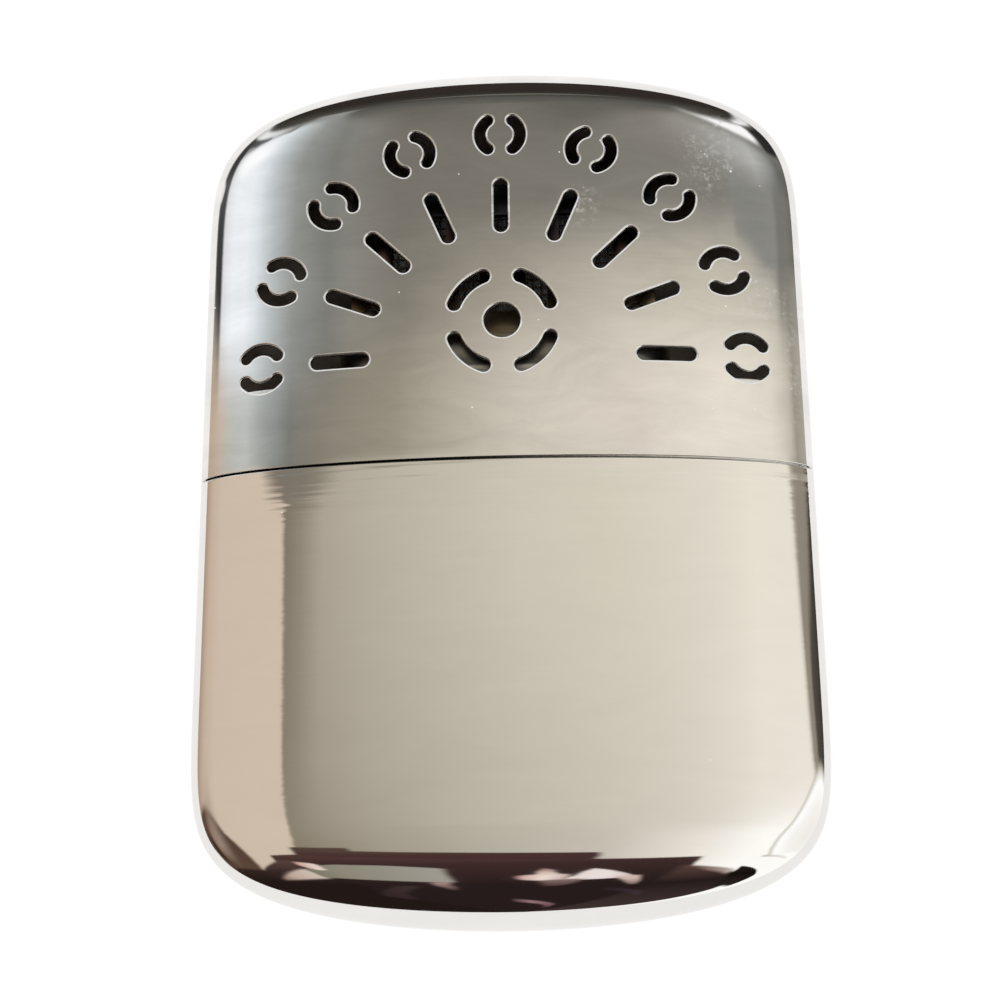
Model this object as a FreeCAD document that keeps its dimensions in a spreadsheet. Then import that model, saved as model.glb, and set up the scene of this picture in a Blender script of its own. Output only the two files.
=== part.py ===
"""Pocket catalytic hand warmer, lying on its back with its vented face up.

A fuel tank packed with cotton, a catalytic burner seated on the tank's oval filler neck, and a vented cap
that slides over the tank's collar.  Millimetres.  X runs across the body, Y along it towards the cap's end
and Z up through its thickness.  The origin is under the middle of the whole warmer, on the surface that it
lies on.
"""
import FreeCAD, Part
import math
import os

import Sketcher

SIZES = {
    # Outer body: two drawn shells with oval cross-sections
    "body_width": 67.5,
    "body_thickness": 14.0,
    "cap_length": 49.0,
    "tank_length": 49.0,
    "seam_gap": 0.2,
    "shell_wall": 0.5,
    # How each shell rounds in towards its closed end
    "cap_shoulder_reach": 29.9,
    "cap_shoulder_squareness": 6.25,
    "cap_end_depth": 6.5,
    "tank_shoulder_reach": 32.3,
    "tank_shoulder_squareness": 6.9,
    "tank_end_depth": 10.0,
    # Fan of vents punched in the cap's front
    "vent_count": 9,
    "fan_height": 11.8,
    "fan_sweep": 180.0,
    "slot_circle_radius": 17.9,
    "slot_length": 6.5,
    "slot_width": 1.55,
    "split_ring_circle_radius": 26.75,
    "split_ring_diameter": 5.8,
    "split_ring_slot": 1.25,
    "split_ring_bridge": 1.55,
    "centre_hole_height": 15.8,
    "centre_hole_diameter": 4.0,
    "centre_ring_diameter": 12.8,
    "centre_ring_slot": 1.5,
    "centre_ring_bridge": 2.6,
    # Collar: closes the tank, and the cap slides over it
    "collar_rise": 9.8,
    "collar_depth": 6.0,
    "collar_wall": 0.45,
    "collar_clearance": 0.08,
    "collar_edge_radius": 0.9,
    # Oval filler neck, flanged under the collar's roof
    "neck_width": 36.0,
    "neck_side_room": 1.37,
    "neck_wall": 0.5,
    "neck_rise": 5.0,
    "neck_joint_clearance": 0.02,
    "neck_flange_width": 0.7,
    "neck_flange_thickness": 0.5,
    # Cotton and felt that hold the fuel
    "packing_clearance": 0.3,
    "wick_clearance": 0.2,
    "wick_recess": 1.0,
    # Burner's drawn base
    "skirt_clearance": 0.06,
    "skirt_wall": 0.45,
    "skirt_foot_gap": 0.3,
    "deck_thickness": 0.5,
    "deck_window_end_margin": 1.6,
    "deck_window_side_margin": 2.1,
    # Burner body
    "burner_setback": 1.0,
    "burner_height": 18.6,
    "burner_side_margin": 0.4,
    "frame_strip": 0.6,
    "frame_foot_length": 3.0,
    "frame_corner_radius": 1.2,
    "mat_thickness": 4.2,
    "mat_edge_radius": 1.2,
    "mat_clearance": 0.2,
    "screen_thickness": 0.3,
    "screen_hole": 1.4,
    "screen_pitch": 2.0,
    "screen_border": 0.6,
    "guard_thickness": 0.5,
    "guard_slot_count": 7,
    "guard_bar_width": 1.4,
    "guard_rail_height": 3.3,
    "guard_lip_gap": 0.2,
    "rivet_diameter": 1.2,
    "rivet_head_diameter": 2.2,
    "rivet_head_height": 0.4,
    "rivet_channel": 2.7,
    "rivet_inset_along": 3.0,
}

SHEET = "sizes"
END_STATIONS = 9
SHOULDER_STATIONS = 8
FIRST_STATION_ANGLE = 2.5
OVERCUT = 1.0

TOTAL_LENGTH = "(sizes.tank_length + sizes.seam_gap + sizes.cap_length)"
MID_PLANE = "(sizes.body_thickness / 2)"
TANK_TIP = f"(-{TOTAL_LENGTH} / 2)"
TANK_MOUTH = f"({TANK_TIP} + sizes.tank_length)"
CAP_MOUTH = f"({TANK_MOUTH} + sizes.seam_gap)"
CAP_TIP = f"({TOTAL_LENGTH} / 2)"
COLLAR_FOOT = f"({TANK_MOUTH} - sizes.collar_depth)"
COLLAR_TOP = f"({TANK_MOUTH} + sizes.collar_rise)"
COLLAR_INSET = "(sizes.shell_wall + sizes.collar_clearance)"
COLLAR_INNER_INSET = f"({COLLAR_INSET} + sizes.collar_wall)"
ROOF_UNDERSIDE = f"({COLLAR_TOP} - sizes.collar_wall)"
NECK_THICKNESS = f"(sizes.body_thickness - 2 * ({COLLAR_INNER_INSET} + sizes.neck_side_room))"
NECK_TOP = f"({COLLAR_TOP} + sizes.neck_rise)"
FLANGE_UNDERSIDE = f"({ROOF_UNDERSIDE} - sizes.neck_flange_thickness)"
DECK_TOP = f"({NECK_TOP} + sizes.skirt_clearance + sizes.deck_thickness)"
BURNER_TOP = f"({DECK_TOP} + sizes.burner_height)"
WINDOW_FOOT = f"({DECK_TOP} + sizes.frame_strip)"
WINDOW_HEIGHT = "(sizes.burner_height - 2 * sizes.frame_strip)"
BURNER_WIDTH = "(sizes.neck_width - 2 * sizes.burner_setback)"
FRAME_WIDTH = f"({BURNER_WIDTH} - 2 * sizes.burner_side_margin)"
MAT_WIDTH = f"({FRAME_WIDTH} - 2 * sizes.frame_strip - 2 * sizes.rivet_channel)"
GUARD_SLOT_PITCH = f"({MAT_WIDTH} / sizes.guard_slot_count)"
SCREEN_OUTER = "(sizes.mat_thickness / 2 + sizes.mat_clearance + sizes.screen_thickness)"
GUARD_OUTER = f"({SCREEN_OUTER} + sizes.guard_thickness)"

doc = FreeCAD.newDocument("catalytic_hand_warmer")


def make_sheet():
    """Write every driving size into the spreadsheet, one named cell each."""
    sheet = doc.addObject("Spreadsheet::Sheet", SHEET)
    for row, (name, number) in enumerate(SIZES.items(), start=1):
        sheet.set(f"A{row}", name)
        sheet.set(f"B{row}", str(number))
        sheet.setAlias(f"B{row}", name)
    doc.recompute()


def bind(item, **expressions):
    """Bind properties to expressions; a double underscore stands for a dot."""
    for name, expression in expressions.items():
        item.setExpression(name.replace("__", "."), expression)
    return item


def place(item, x="0", y="0", z="0"):
    """Bind the three coordinates of an object's place."""
    item.setExpression("Placement.Base.x", x)
    item.setExpression("Placement.Base.y", y)
    item.setExpression("Placement.Base.z", z)
    return item


def value(expression):
    """The number that an expression stands for."""
    return float(doc.getObject(SHEET).evalExpression(expression))


def dimension(sketch, kind, where, expression):
    """Add a dimension to a sketch and bind it to an expression."""
    index = sketch.addConstraint(Sketcher.Constraint(kind, *where, value(expression)))
    sketch.setExpression(f"Constraints[{index}]", expression)


def facing_along(item):
    """Turn a flat object so that its normal runs along the warmer."""
    item.Placement = FreeCAD.Placement(FreeCAD.Vector(), FreeCAD.Rotation(FreeCAD.Vector(1, 0, 0), -90))
    return item


def centred_box(name, width, length, depth, foot, middle=MID_PLANE, across="0"):
    """A box centred on `across` and on the height `middle`, that starts at `foot` along the warmer."""
    box = doc.addObject("Part::Box", name)
    bind(box, Length=width, Width=length, Height=depth)
    return place(box, f"{across} - ({width}) / 2", foot, f"{middle} - ({depth}) / 2")


def cut(name, base, tool):
    """The base less the tool."""
    result = doc.addObject("Part::Cut", name)
    result.Base = base
    result.Tool = tool
    return result


def fuse(name, *items):
    """The union of the items."""
    result = doc.addObject("Part::MultiFuse", name)
    result.Shapes = list(items)
    return result


def extrude(name, profile, length):
    """Extrude a flat profile along the warmer."""
    result = doc.addObject("Part::Extrusion", name)
    result.Base = profile
    result.DirMode = "Custom"
    result.Dir = FreeCAD.Vector(0, 1, 0)
    result.Solid = True
    return bind(result, LengthFwd=length)


def oval_section(name, half_width, half_thickness, along):
    """One oval cross-section of the body."""
    section = facing_along(doc.addObject("Part::Ellipse", name))
    bind(section, MajorRadius=half_width, MinorRadius=half_thickness)
    return place(section, "0", along, MID_PLANE)


def oval_prism(name, inset, foot, length):
    """A straight length of the body's oval, drawn in by `inset`."""
    section = oval_section(f"{name}_oval", f"sizes.body_width / 2 - {inset}",
                           f"sizes.body_thickness / 2 - {inset}", foot)
    return extrude(name, section, length)


def pillow(name, shell, tip, towards_mouth, straight_foot, straight_length, inset):
    """The body's rounded form from `tip` to its mouth, drawn in by `inset` all round.

    The end is a quarter oval in thickness, and a soft superellipse in plan that meets the straight sides.
    """
    reach = f"(sizes.{shell}_shoulder_reach - {inset})"
    depth = f"(sizes.{shell}_end_depth - {inset})"
    half_width = f"(sizes.body_width / 2 - {inset})"
    half_thickness = f"(sizes.body_thickness / 2 - {inset})"
    stations = []
    for step in range(END_STATIONS + 1):
        angle = max(FIRST_STATION_ANGLE, 90.0 * step / END_STATIONS)
        stations.append((f"({depth} * (1 - cos({angle})))", f"{half_thickness} * sin({angle})"))
    for step in range(1, SHOULDER_STATIONS + 1):
        share = step / SHOULDER_STATIONS
        stations.append((f"({depth} + ({reach} - {depth}) * {share})", half_thickness))
    sections = []
    for index, (distance, thickness) in enumerate(stations):
        narrowing = f"abs({reach} - {distance}) / {reach}"
        width = f"{half_width} * sqrt(1 - ({narrowing}) ^ sizes.{shell}_shoulder_squareness)"
        along = f"{tip} {towards_mouth} ({inset} + {distance})"
        sections.append(oval_section(f"{name}_section_{index}", width, thickness, along))
    end = doc.addObject("Part::Loft", f"{name}_end")
    end.Sections = sections
    end.Solid = True
    straight = oval_prism(f"{name}_straight", inset, straight_foot, straight_length)
    return fuse(name, end, straight)


def stadium_sketch(name, width, thickness, along):
    """A flat-sided oval profile of the given overall width and thickness, facing along the warmer."""
    sketch = facing_along(doc.addObject("Sketcher::SketchObject", name))
    place(sketch, "0", along, MID_PLANE)
    up = FreeCAD.Vector(0, 0, 1)
    radius = value(thickness) / 2
    side = value(width) / 2 - radius
    half_turn = math.pi / 2
    right = sketch.addGeometry(Part.ArcOfCircle(Part.Circle(FreeCAD.Vector(side, 0, 0), up, radius),
                                                -half_turn, half_turn))
    left = sketch.addGeometry(Part.ArcOfCircle(Part.Circle(FreeCAD.Vector(-side, 0, 0), up, radius),
                                               half_turn, 3 * half_turn))
    top = sketch.addGeometry(Part.LineSegment(FreeCAD.Vector(side, radius, 0),
                                              FreeCAD.Vector(-side, radius, 0)))
    bottom = sketch.addGeometry(Part.LineSegment(FreeCAD.Vector(-side, -radius, 0),
                                                 FreeCAD.Vector(side, -radius, 0)))
    for first, first_end, second, second_end in ((right, 2, top, 1), (top, 2, left, 1),
                                                 (left, 2, bottom, 1), (bottom, 2, right, 1)):
        sketch.addConstraint(Sketcher.Constraint("Tangent", first, first_end, second, second_end))
    sketch.addConstraint(Sketcher.Constraint("Horizontal", top))
    sketch.addConstraint(Sketcher.Constraint("Symmetric", right, 3, left, 3, -1, 1))
    sketch.addConstraint(Sketcher.Constraint("PointOnObject", right, 3, -1))
    dimension(sketch, "Radius", (right,), f"({thickness}) / 2")
    dimension(sketch, "DistanceX", (left, 3, right, 3), f"({width}) - ({thickness})")
    return sketch


def stadium_prism(name, width, thickness, foot, length):
    """A flat-sided oval block along the warmer."""
    return extrude(name, stadium_sketch(f"{name}_profile", width, thickness, foot), length)


def body_on(name, base=None):
    """A new body, which starts from a finished solid where one is given."""
    body = doc.addObject("PartDesign::Body", name)
    if base:
        body.BaseFeature = base
    doc.recompute()
    return body


def origin_part(body, role):
    """One of the body's own origin planes or axes, found by its role."""
    return next(feature for feature in body.Origin.OriginFeatures if feature.Role == role)


def face_up_sketch(body, name, along, up=MID_PLANE, turn=0.0):
    """A sketch of the body that looks down on the warmer, with its origin at `along` and height `up`."""
    sketch = body.newObject("Sketcher::SketchObject", name)
    sketch.AttachmentSupport = [(origin_part(body, "XY_Plane"), "")]
    sketch.MapMode = "FlatFace"
    sketch.AttachmentOffset = FreeCAD.Placement(FreeCAD.Vector(),
                                                FreeCAD.Rotation(FreeCAD.Vector(0, 0, 1), turn))
    sketch.setExpression("AttachmentOffset.Base.y", along)
    sketch.setExpression("AttachmentOffset.Base.z", up)
    return sketch


def pocket_up(body, name, sketch, depth):
    """Cut the sketch upwards out of the body."""
    feature = body.newObject("PartDesign::Pocket", name)
    feature.Profile = sketch
    feature.Reversed = True
    feature.Refine = False
    feature.setExpression("Length", depth)
    return feature


def polar_copies(body, name, feature, sketch, sweep, count):
    """Repeat a feature about the sketch's own normal."""
    pattern = body.newObject("PartDesign::PolarPattern", name)
    pattern.Originals = [feature]
    pattern.Refine = False
    pattern.Axis = (sketch, ["N_Axis"])
    pattern.setExpression("Angle", sweep)
    pattern.setExpression("Occurrences", count)
    body.Tip = pattern
    return pattern


def arc_slot(sketch, centre_x, middle_radius, slot, end_height, side):
    """A curved slot with round ends, on one side of the sketch's X axis or straddling it.

    `side` is +1 for a slot above the axis, -1 for one below it, and 0 for one that crosses it.
    `end_height` is how far from the axis the centres of the round ends lie.
    """
    up = FreeCAD.Vector(0, 0, 1)
    centre = FreeCAD.Vector(value(centre_x), 0, 0)
    middle = value(middle_radius)
    half_slot = value(slot) / 2
    lift = math.asin(value(end_height) / middle)
    if side > 0:
        start, finish = lift, math.pi - lift
    elif side < 0:
        start, finish = math.pi + lift, 2 * math.pi - lift
    else:
        start, finish = -lift, lift

    def round_end(angle, turned):
        place_of_end = centre + FreeCAD.Vector(math.cos(angle), math.sin(angle), 0) * middle
        return sketch.addGeometry(Part.ArcOfCircle(Part.Circle(place_of_end, up, half_slot),
                                                   angle + turned, angle + turned + math.pi))

    outer = sketch.addGeometry(Part.ArcOfCircle(Part.Circle(centre, up, middle + half_slot), start, finish))
    inner = sketch.addGeometry(Part.ArcOfCircle(Part.Circle(centre, up, middle - half_slot), start, finish))
    last = round_end(finish, 0.0)
    first = round_end(start, math.pi)
    sketch.addConstraint(Sketcher.Constraint("Coincident", outer, 3, inner, 3))
    sketch.addConstraint(Sketcher.Constraint("Tangent", outer, 2, last, 1))
    sketch.addConstraint(Sketcher.Constraint("Tangent", last, 2, inner, 2))
    sketch.addConstraint(Sketcher.Constraint("Tangent", inner, 1, first, 1))
    sketch.addConstraint(Sketcher.Constraint("Tangent", first, 2, outer, 1))
    dimension(sketch, "Radius", (outer,), f"({middle_radius}) + ({slot}) / 2")
    dimension(sketch, "Radius", (inner,), f"({middle_radius}) - ({slot}) / 2")
    if side:
        sketch.addConstraint(Sketcher.Constraint("PointOnObject", outer, 3, -1))
        dimension(sketch, "DistanceX", (-1, 1, outer, 3), centre_x)
    else:
        sketch.addConstraint(Sketcher.Constraint("Coincident", outer, 3, -1, 1))
    for end, angle in ((first, start), (last, finish)):
        above = math.sin(angle) > 0
        dimension(sketch, "DistanceY", (-1, 1, end, 3) if above else (end, 3, -1, 1), end_height)


def radial_slot(sketch, centre_x, length, width):
    """A straight slot with round ends along the sketch's X axis."""
    up = FreeCAD.Vector(0, 0, 1)
    half_turn = math.pi / 2
    radius = value(width) / 2
    reach = value(length) / 2 - radius
    near = FreeCAD.Vector(value(centre_x) - reach, 0, 0)
    far = FreeCAD.Vector(value(centre_x) + reach, 0, 0)
    rise = FreeCAD.Vector(0, radius, 0)
    far_end = sketch.addGeometry(Part.ArcOfCircle(Part.Circle(far, up, radius), -half_turn, half_turn))
    near_end = sketch.addGeometry(Part.ArcOfCircle(Part.Circle(near, up, radius), half_turn, 3 * half_turn))
    top = sketch.addGeometry(Part.LineSegment(far + rise, near + rise))
    bottom = sketch.addGeometry(Part.LineSegment(near - rise, far - rise))
    for first, first_end, second, second_end in ((far_end, 2, top, 1), (top, 2, near_end, 1),
                                                 (near_end, 2, bottom, 1), (bottom, 2, far_end, 1)):
        sketch.addConstraint(Sketcher.Constraint("Tangent", first, first_end, second, second_end))
    sketch.addConstraint(Sketcher.Constraint("PointOnObject", near_end, 3, -1))
    sketch.addConstraint(Sketcher.Constraint("PointOnObject", far_end, 3, -1))
    sketch.addConstraint(Sketcher.Constraint("Horizontal", top))
    reach_cell = f"(({length}) - ({width})) / 2"
    dimension(sketch, "Radius", (far_end,), f"({width}) / 2")
    dimension(sketch, "DistanceX", (-1, 1, near_end, 3), f"({centre_x}) - {reach_cell}")
    dimension(sketch, "DistanceX", (-1, 1, far_end, 3), f"({centre_x}) + {reach_cell}")


def rectangle(sketch, width, height, foot=""):
    """A rectangle centred across the sketch's Y axis, standing on its X axis where no foot is given."""
    half = value(width) / 2
    low = value(foot) if foot else 0.0
    high = low + value(height)
    corners = [FreeCAD.Vector(-half, low, 0), FreeCAD.Vector(half, low, 0),
               FreeCAD.Vector(half, high, 0), FreeCAD.Vector(-half, high, 0)]
    first = sketch.GeometryCount
    for index in range(4):
        sketch.addGeometry(Part.LineSegment(corners[index], corners[(index + 1) % 4]))
    for index in range(4):
        sketch.addConstraint(Sketcher.Constraint("Coincident", first + index, 2, first + (index + 1) % 4, 1))
    sketch.addConstraint(Sketcher.Constraint("Horizontal", first + 2))
    sketch.addConstraint(Sketcher.Constraint("Vertical", first + 1))
    sketch.addConstraint(Sketcher.Constraint("Symmetric", first, 1, first, 2, -2))
    dimension(sketch, "DistanceX", (first, 1, first, 2), width)
    dimension(sketch, "DistanceY", (first + 1, 1, first + 1, 2), height)
    if foot:
        dimension(sketch, "DistanceY", (-1, 1, first, 1), foot)
    else:
        sketch.addConstraint(Sketcher.Constraint("PointOnObject", first, 1, -1))


def pad_up(body, name, sketch, thickness):
    """Raise the sketch into a plate."""
    feature = body.newObject("PartDesign::Pad", name)
    feature.Profile = sketch
    feature.setExpression("Length", thickness)
    return feature


def row_copies(body, name, originals, direction, pitch, count):
    """Repeat features in a row along one of the body's own axes."""
    pattern = body.newObject("PartDesign::LinearPattern", name)
    pattern.Originals = originals
    pattern.Refine = False
    pattern.Direction = (origin_part(body, direction), [""])
    pattern.setExpression("Length", f"({pitch}) * (({count}) - 1)")
    pattern.setExpression("Occurrences", count)
    body.Tip = pattern
    return pattern


def make_tank_shell():
    """The drawn fuel tank, closed at its bottom end and open at its mouth."""
    straight = "(sizes.tank_length - sizes.tank_shoulder_reach)"
    outer = pillow("tank_outside", "tank", TANK_TIP, "+", f"{TANK_MOUTH} - {straight}", straight, "0")
    inner = pillow("tank_inside", "tank", TANK_TIP, "+", f"{TANK_MOUTH} - {straight}",
                   f"{straight} + {OVERCUT}", "sizes.shell_wall")
    return cut("tank_shell", outer, inner)


def make_cap_shell():
    """The drawn cap with its fan of slots, split rings and centre vent in the front face."""
    straight = "(sizes.cap_length - sizes.cap_shoulder_reach)"
    outer = pillow("cap_outside", "cap", CAP_TIP, "-", CAP_MOUTH, straight, "0")
    inner = pillow("cap_inside", "cap", CAP_TIP, "-", f"{CAP_MOUTH} - {OVERCUT}",
                   f"{straight} + {OVERCUT}", "sizes.shell_wall")
    body = body_on("cap_shell", cut("cap_blank", outer, inner))
    punch = "sizes.body_thickness"
    fan_centre = f"{CAP_MOUTH} + sizes.fan_height"
    hole_centre = f"{CAP_MOUTH} + sizes.centre_hole_height"
    half_quarter = 45.0

    slots = face_up_sketch(body, "fan_slot_sketch", fan_centre)
    radial_slot(slots, "sizes.slot_circle_radius", "sizes.slot_length", "sizes.slot_width")
    slot = pocket_up(body, "fan_slot", slots, punch)
    polar_copies(body, "fan_slots", slot, slots, "sizes.fan_sweep", "sizes.vent_count")

    rings = face_up_sketch(body, "split_ring_sketch", fan_centre)
    for side in (1, -1):
        arc_slot(rings, "sizes.split_ring_circle_radius",
                 "(sizes.split_ring_diameter - sizes.split_ring_slot) / 2", "sizes.split_ring_slot",
                 "(sizes.split_ring_bridge + sizes.split_ring_slot) / 2", side)
    split = pocket_up(body, "split_ring", rings, punch)
    polar_copies(body, "split_rings", split, rings, "sizes.fan_sweep", "sizes.vent_count")

    centre = face_up_sketch(body, "centre_ring_sketch", hole_centre, turn=half_quarter)
    middle = "((sizes.centre_ring_diameter - sizes.centre_ring_slot) / 2)"
    bridge = "((sizes.centre_ring_bridge + sizes.centre_ring_slot) / 2)"
    arc_slot(centre, "0", middle, "sizes.centre_ring_slot",
             f"{middle} * sin({half_quarter} deg - asin({bridge} / {middle}))", 0)
    arc = pocket_up(body, "centre_arc", centre, punch)
    polar_copies(body, "centre_arcs", arc, centre, "360", "4")

    hole = face_up_sketch(body, "centre_hole_sketch", hole_centre)
    radius = "sizes.centre_hole_diameter / 2"
    circle = hole.addGeometry(Part.Circle(FreeCAD.Vector(), FreeCAD.Vector(0, 0, 1), value(radius)))
    hole.addConstraint(Sketcher.Constraint("Coincident", circle, 3, -1, 1))
    dimension(hole, "Radius", (circle,), radius)
    pocket_up(body, "centre_hole", hole, punch)
    doc.recompute()
    return body


def top_outer_edge(shape):
    """The name of the prism's edge that lies furthest towards the cap's end."""
    places = [(edge.CenterOfMass.y, index) for index, edge in enumerate(shape.Edges, start=1)]
    return f"Edge{max(places)[1]}"


def make_collar():
    """The collar that closes the tank: a drawn cup, mouth down, with an oval hole for the neck."""
    height = "(sizes.collar_rise + sizes.collar_depth)"
    outer = oval_prism("collar_outside", COLLAR_INSET, COLLAR_FOOT, height)
    body = body_on("collar_blank", outer)
    feature = next(item for item in body.Group if item.TypeId == "PartDesign::FeatureBase")
    rounding = body.newObject("PartDesign::Fillet", "collar_edge")
    rounding.Base = (feature, [top_outer_edge(feature.Shape)])
    rounding.setExpression("Radius", "sizes.collar_edge_radius")
    doc.recompute()
    inner = oval_prism("collar_inside", COLLAR_INNER_INSET, f"{COLLAR_FOOT} - {OVERCUT}",
                       f"{height} - sizes.collar_wall + {OVERCUT}")
    hole = stadium_prism("neck_hole", "sizes.neck_width + 2 * sizes.neck_joint_clearance",
                         f"{NECK_THICKNESS} + 2 * sizes.neck_joint_clearance",
                         f"{ROOF_UNDERSIDE} - {OVERCUT}", f"sizes.collar_wall + 2 * {OVERCUT}")
    return cut("tank_collar", body, fuse("collar_hollow", inner, hole))


def make_filler_neck():
    """The oval neck: a tube through the collar's roof with a flange under it."""
    rise = "sizes.neck_rise + sizes.collar_wall + sizes.neck_flange_thickness"
    tube = stadium_prism("neck_tube", "sizes.neck_width", NECK_THICKNESS, FLANGE_UNDERSIDE, rise)
    flange = stadium_prism("neck_flange", "sizes.neck_width + 2 * sizes.neck_flange_width",
                           f"{NECK_THICKNESS} + 2 * sizes.neck_flange_width",
                           FLANGE_UNDERSIDE, "sizes.neck_flange_thickness")
    bore = stadium_prism("neck_bore", "sizes.neck_width - 2 * sizes.neck_wall",
                         f"{NECK_THICKNESS} - 2 * sizes.neck_wall",
                         f"{FLANGE_UNDERSIDE} - {OVERCUT}", f"{rise} + 2 * {OVERCUT}")
    return cut("filler_neck", fuse("neck_outside", tube, flange), bore)


def make_waddings():
    """Two wads of cotton: one that fills the tank's rounded end and one that fills its mouth and collar."""
    tank_inset = "(sizes.shell_wall + sizes.packing_clearance)"
    collar_inset = f"({COLLAR_INNER_INSET} + sizes.packing_clearance)"
    upper_top = f"({FLANGE_UNDERSIDE} - sizes.packing_clearance)"
    lower_top = f"({COLLAR_FOOT} - sizes.packing_clearance)"
    straight_foot = f"({TANK_TIP} + sizes.tank_shoulder_reach)"
    lower = pillow("lower_wadding", "tank", TANK_TIP, "+", straight_foot, f"{lower_top} - {straight_foot}",
                   tank_inset)
    upper = oval_prism("upper_wadding", collar_inset, COLLAR_FOOT, f"{upper_top} - {COLLAR_FOOT}")
    return lower, upper


def make_wick():
    """The felt wick that stands in the neck on the upper wad."""
    drawn_in = "2 * (sizes.neck_wall + sizes.wick_clearance)"
    return stadium_prism("neck_wick", f"sizes.neck_width - {drawn_in}", f"{NECK_THICKNESS} - {drawn_in}",
                         FLANGE_UNDERSIDE, f"{NECK_TOP} - sizes.wick_recess - {FLANGE_UNDERSIDE}")


def make_burner_base():
    """The burner's drawn base: a skirt that fits over the neck, closed by a deck with a window for vapour."""
    inner_width = "(sizes.neck_width + 2 * sizes.skirt_clearance)"
    inner_thickness = f"({NECK_THICKNESS} + 2 * sizes.skirt_clearance)"
    skirt_foot = f"({COLLAR_TOP} + sizes.skirt_foot_gap)"
    deck_underside = f"({NECK_TOP} + sizes.skirt_clearance)"
    outside = stadium_prism("base_outside", f"{inner_width} + 2 * sizes.skirt_wall",
                            f"{inner_thickness} + 2 * sizes.skirt_wall", skirt_foot,
                            f"{DECK_TOP} - {skirt_foot}")
    inside = stadium_prism("base_inside", inner_width, inner_thickness, f"{skirt_foot} - {OVERCUT}",
                           f"{deck_underside} - {skirt_foot} + {OVERCUT}")
    between_feet = f"({FRAME_WIDTH} - 2 * sizes.frame_foot_length)"
    window = centred_box("deck_window", f"{between_feet} - 2 * sizes.deck_window_end_margin",
                         f"sizes.deck_thickness + 2 * {OVERCUT}",
                         f"{NECK_THICKNESS} - 2 * sizes.deck_window_side_margin",
                         f"{deck_underside} - {OVERCUT}")
    return cut("burner_base", outside, fuse("base_hollow", inside, window))


def make_burner_frame():
    """The bent strip that stands on the deck: two posts with a strap across the top and two feet."""
    body = body_on("burner_frame")
    underside = f"{MID_PLANE} - {SCREEN_OUTER}"
    depth = f"2 * {SCREEN_OUTER}"
    outline = face_up_sketch(body, "frame_outline", DECK_TOP, underside)
    rectangle(outline, FRAME_WIDTH, "sizes.burner_height")
    block = pad_up(body, "frame_block", outline, depth)
    doc.recompute()
    box = block.Shape.BoundBox
    corners = [f"Edge{index}" for index, edge in enumerate(block.Shape.Edges, start=1)
               if edge.BoundBox.ZLength > box.ZLength / 2 and edge.CenterOfMass.y > box.Center.y]
    rounding = body.newObject("PartDesign::Fillet", "frame_corners")
    rounding.Base = (block, corners)
    rounding.setExpression("Radius", "sizes.frame_corner_radius")
    doc.recompute()
    window = face_up_sketch(body, "frame_window", DECK_TOP, underside)
    rectangle(window, f"{FRAME_WIDTH} - 2 * sizes.frame_strip", WINDOW_HEIGHT, "sizes.frame_strip")
    pocket_up(body, "frame_window_cut", window, depth)
    between = face_up_sketch(body, "frame_feet", DECK_TOP, underside)
    rectangle(between, f"{FRAME_WIDTH} - 2 * sizes.frame_foot_length", "sizes.frame_strip")
    pocket_up(body, "frame_feet_cut", between, depth)
    doc.recompute()
    return body


def make_catalyst_mat():
    """The platinum-coated glass-fibre mat in the frame's window."""
    body = body_on("catalyst_mat")
    outline = face_up_sketch(body, "mat_outline", f"{WINDOW_FOOT} + sizes.mat_clearance",
                             f"{MID_PLANE} - sizes.mat_thickness / 2")
    rectangle(outline, MAT_WIDTH, f"{WINDOW_HEIGHT} - 2 * sizes.mat_clearance")
    block = pad_up(body, "mat_block", outline, "sizes.mat_thickness")
    doc.recompute()
    rounding = body.newObject("PartDesign::Fillet", "mat_edges")
    rounding.Base = (block, [f"Edge{index}" for index in range(1, len(block.Shape.Edges) + 1)])
    rounding.setExpression("Radius", "sizes.mat_edge_radius")
    doc.recompute()
    return body


def upright_cylinder(name, diameter, height, foot, across, along):
    """A cylinder that stands up through the warmer's thickness."""
    cylinder = doc.addObject("Part::Cylinder", name)
    bind(cylinder, Radius=f"({diameter}) / 2", Height=height)
    return place(cylinder, across, along, foot)


def rivet_places():
    """The name and place of each rivet: two up each side of the mat."""
    inset = f"({MAT_WIDTH} / 2 + sizes.rivet_channel / 2)"
    for side, sign in (("left", "-"), ("right", "+")):
        yield f"{side}_lower", f"0 {sign} {inset}", f"{DECK_TOP} + sizes.rivet_inset_along"
        yield f"{side}_upper", f"0 {sign} {inset}", f"{BURNER_TOP} - sizes.rivet_inset_along"


def make_guard_plate(name, underside):
    """A stamped guard plate with a row of slots and a lip that folds in over the frame's strap."""
    body = body_on(name)
    plate = face_up_sketch(body, f"{name}_plate", DECK_TOP, underside)
    rectangle(plate, BURNER_WIDTH, "sizes.burner_height")
    pad_up(body, f"{name}_pad", plate, "sizes.guard_thickness")
    slots = face_up_sketch(body, f"{name}_slot_sketch", DECK_TOP, underside)
    slots.setExpression("AttachmentOffset.Base.x", f"-(sizes.guard_slot_count - 1) * {GUARD_SLOT_PITCH} / 2")
    rectangle(slots, f"{GUARD_SLOT_PITCH} - sizes.guard_bar_width",
              "sizes.burner_height - 2 * sizes.guard_rail_height", "sizes.guard_rail_height")
    slot = pocket_up(body, f"{name}_slot", slots, "sizes.guard_thickness")
    row_copies(body, f"{name}_slots", [slot], "X_Axis", GUARD_SLOT_PITCH, "sizes.guard_slot_count")
    doc.recompute()
    return body


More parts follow.
